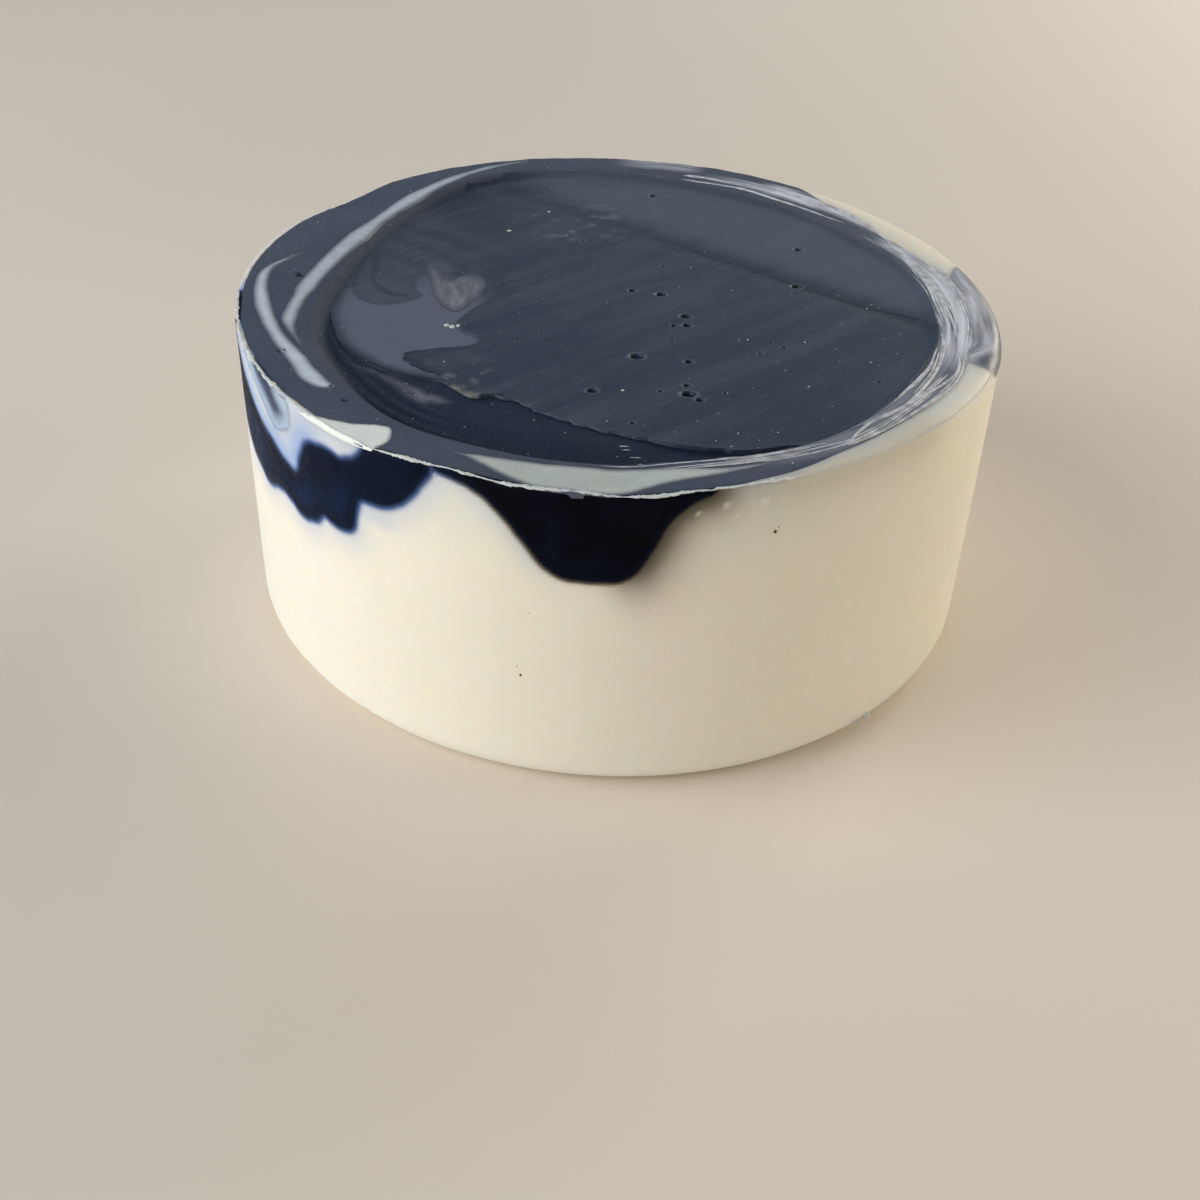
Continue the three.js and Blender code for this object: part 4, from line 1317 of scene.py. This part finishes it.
def make_crumbs(material, outlines):
    """Pale crumbs and dashes on the top, a few at the foot, and dark specks on the wall."""
    picker = np.random.default_rng(121)
    places = []
    spots = [(x, y, size * 0.5, size * 0.5, 0.0) for x, y, size in CRUMBS]
    spots += [(x, y, length * 0.5, 0.05, 0.0) for x, y, length in DASHES]
    for _ in range(GRAIN_COUNT):
        reach, turn = GRAIN_REACH * math.sqrt(picker.uniform(0.0, 1.0)), picker.uniform(-math.pi, math.pi)
        size = 0.035 + 0.05 * picker.uniform(0.0, 1.0) ** 3
        spots.append((reach * math.cos(turn), reach * math.sin(turn), size, size, 0.0))
    heights = face_heights(np.array([spot[:2] for spot in spots]), outlines)
    for (x, y, long, wide, dark), z in zip(spots, heights):
        places.append((np.array([x, y, z]), (long, wide * 0.9, min(long, wide) * 0.6 + 0.02), dark))
    for angle, drop, size in WALL_SPECKS:
        centre = rim_surface(np.array(angle), np.array(drop), 0.0)
        places.append((centre, (size * 0.6, size * 0.3, size * 0.7), 1.0))
    for angle, height, size in FOOT_GRAINS:
        turn = math.radians(angle)
        out = RADIUS - 0.3
        places.append((np.array([out * math.cos(turn), out * math.sin(turn), height]), (size,) * 3, 0.0))
    points, faces, dark_marks = [], [], []
    first = 0
    for centre, size, dark in places:
        crumb, quads = lump(centre, size, picker)
        points.append(crumb)
        faces += [[first + index for index in face] for face in quads]
        dark_marks += [dark] * len(crumb)
        first += len(crumb)
    piece = build_mesh("crumbs_soap", np.vstack(points), faces, {"dark": np.array(dark_marks)})
    finish_piece(piece, material, "white_flash")


def face_heights(points, outlines):
    """Heights of whatever face is on top at each place, from the outlines of the skins."""
    near, far, satin = outlines
    x, y = points.T
    bed = top_height(x, y)
    bed = np.where(inside(points, satin), np.maximum(bed + 0.10, satin_height(x, y)), bed)
    return np.where(inside(points, near) | inside(points, far), plateau_height(x, y), bed)


def crumb_material():
    material, tree, shader = new_material("crumbs")
    place = millimetres(tree)
    colour = blend(tree, mottle(tree, place, 5.0, 2.0), (0.50, 0.54, 0.55), (0.80, 0.82, 0.80))
    colour = blend(tree, mark(tree, "dark"), colour, (0.05, 0.035, 0.03))
    dress(tree, shader, colour, 0.45, [(grain(tree, place, 12.0, 3.0), 0.02)])
    return material


def make_flake(material):
    loop = soft_loop(EDGE_FLAKE, 0.12, 0.07, 0.6, 86)

    def place(points, depth):
        x, y = points.T
        bed = top_height(x, y)
        if depth[0] < 0.0:
            return stacked(x, y, bed + depth)
        curl = 0.22 + 0.12 * smoothstep(-20.4, -21.6, y) + 0.10 * noise(x, y, 0.0, 0.7, 87)
        return stacked(x, y, bed - 0.02 + curl * smoothstep(0.0, 0.18, depth))

    def torn_fade(points, depth):
        patches = smoothstep(-0.35, 0.5, fractal(points[:, 0], points[:, 1], 0.0, 0.9, 88))
        return smoothstep(0.02, 0.12, depth) * (0.2 + 0.8 * patches)

    add_patch("edge_flake", material, "pale_smear", loop, 0.14, place, 0.3, (0.06, 0.14),
              marks={"fade": torn_fade})


# ---------------------------------------------------------------- stage, light and camera

def make_floor():
    material, tree, shader = new_material("pale_floor")
    place = add_node(tree, "ShaderNodeTexCoord").outputs["Object"]
    tone = blend(tree, mottle(tree, place, 3.0, 2.0), (0.83, 0.75, 0.65), (0.87, 0.79, 0.69))
    dress(tree, shader, tone, 0.7)
    side = 3.0
    mesh = bpy.data.meshes.new("floor")
    mesh.from_pydata([(-side, -side, 0), (side, -side, 0), (side, side, 0), (-side, side, 0)], [], [(0, 1, 2, 3)])
    mesh.materials.append(material)
    add_object("floor", mesh)


def add_light(name, place, size, power, colour):
    """A soft square light that faces the puck."""
    data = bpy.data.lights.new(name, "AREA")
    data.shape = "RECTANGLE"
    data.size, data.size_y = size
    data.energy = power
    data.color = colour
    lamp = add_object(name, data)
    lamp.location = place
    to_puck = Vector((0.0, 0.0, HEIGHT * MM / 2)) - Vector(place)
    lamp.rotation_euler = to_puck.to_track_quat("-Z", "Y").to_euler()


def make_lights():
    add_light("window_left", (-0.55, -0.18, 0.40), (0.5, 0.5), 2.15, (1.0, 0.98, 0.96))
    add_light("window_low_left", (-0.60, -0.15, 0.16), (0.4, 0.25), 1.2, (0.88, 0.95, 1.0))
    add_light("window_front_left", (-0.35, -0.60, 0.45), (0.5, 0.5), 0.40, (1.0, 0.98, 0.94))
    add_light("window_back", (-0.10, 0.75, 0.42), (0.9, 0.5), 0.85, (0.66, 0.83, 1.0))
    add_light("window_right", (0.60, 0.10, 0.22), (0.3, 0.3), 0.55, (0.92, 0.96, 1.0))
    add_light("window_right_back", (0.45, 0.50, 0.25), (0.3, 0.3), 1.8, (1.0, 0.95, 0.85))
    add_light("bounce_right", (0.44, 0.09, 0.10), (0.35, 0.12), 0.60, (1.0, 0.74, 0.42))
    add_light("bounce_front", (-0.12, -0.45, 0.10), (0.35, 0.12), 0.38, (1.0, 0.92, 0.78))
    world = bpy.data.worlds.new("studio")
    world.use_nodes = True
    background = world.node_tree.nodes["Background"]
    background.inputs["Color"].default_value = (0.80, 0.90, 1.0, 1.0)
    background.inputs["Strength"].default_value = 0.12
    bpy.context.scene.world = world


# The camera's place in puck radii, its angles in degrees and its lens and sensor in millimetres.
CAMERA_PLACE = (-0.021, -3.713, 2.560)
CAMERA_ELEVATION, CAMERA_ROLL = 36.24, 2.35
CAMERA_LENS, CAMERA_SENSOR = 45.4, 36.0


def make_camera():
    """Looks down at the front of the puck from close by, turned a little about its own axis."""
    elevation, roll = math.radians(CAMERA_ELEVATION), math.radians(CAMERA_ROLL)
    place = Vector(CAMERA_PLACE) * RADIUS * MM
    ahead = Vector((0.0, math.cos(elevation), -math.sin(elevation)))
    upright = Vector((0.0, math.sin(elevation), math.cos(elevation)))
    across = Vector((1.0, 0.0, 0.0))
    right = across * math.cos(roll) + upright * math.sin(roll)
    up = upright * math.cos(roll) - across * math.sin(roll)
    data = bpy.data.cameras.new("camera")
    data.lens, data.sensor_width = CAMERA_LENS, CAMERA_SENSOR
    data.clip_start = 0.005
    camera = add_object("camera", data)
    camera.matrix_world = Matrix.Translation(place) @ Matrix((right, up, -ahead)).transposed().to_4x4()
    bpy.context.scene.camera = camera


make_camera()
make_lights()
make_floor()

ivory = ivory_material()
charcoal = charcoal_material()
skin = skin_material()
run = run_material()
wedge_soap = faded_material("wedge_soap", (0.58, 0.64, 0.60), CHARCOAL)
ivory_wedge_soap = faded_material("ivory_wedge_soap", (0.92, 0.96, 0.92), CHARCOAL, 0.1)
ribbon_soap = faded_material("ribbon_soap", (0.68, 0.76, 0.86), CHARCOAL, 0.5)
# Pale smear in the satin skin; its light streaks are painted highlights.
heart_soap_and_highlights = faded_material("heart_soap_and_highlights", (0.24, 0.26, 0.31), (0.060, 0.068, 0.096), 1.0, 0.35, 0.5, (100.0, 5.0))
stain_soap = faded_material("stain_soap", (0.045, 0.064, 0.120), (0.60, 0.71, 0.90), gloss=0.1, scatter=0.9)
patch_soap = patch_material()
# Pale soap strands; their bluish white is partly a painted sheen.
strand_soap_and_sheen = faded_material("strand_soap_and_sheen", (0.78, 0.79, 0.84), CHARCOAL, 1.0, 0.55)
# The flake fades to the painted shade colour of the recess under it.
flake_soap = faded_material("flake_soap", (0.22, 0.22, 0.20), SHADED_RECESS_CHARCOAL, 1.0, 0.5)

make_ivory_body(ivory)
make_charcoal_layer(charcoal)
skin_outlines = make_skins(skin)
make_land_inlays(wedge_soap, ivory_wedge_soap, ribbon_soap, heart_soap_and_highlights)
make_wall_runs(run, stain_soap)
make_rim_patch(patch_soap)
make_flash(flash_material())
for node, lines, seed in (("strand_outer", OUTER_STRANDS, 101), ("strand_inner", INNER_STRANDS, 102),
                          ("strand_back", BACK_STRANDS, 103)):
    make_strands(node, strand_soap_and_sheen, lines, seed)
make_crumbs(crumb_material(), skin_outlines)
make_flake(flake_soap)

bpy.context.scene.view_settings.view_transform = "Standard"
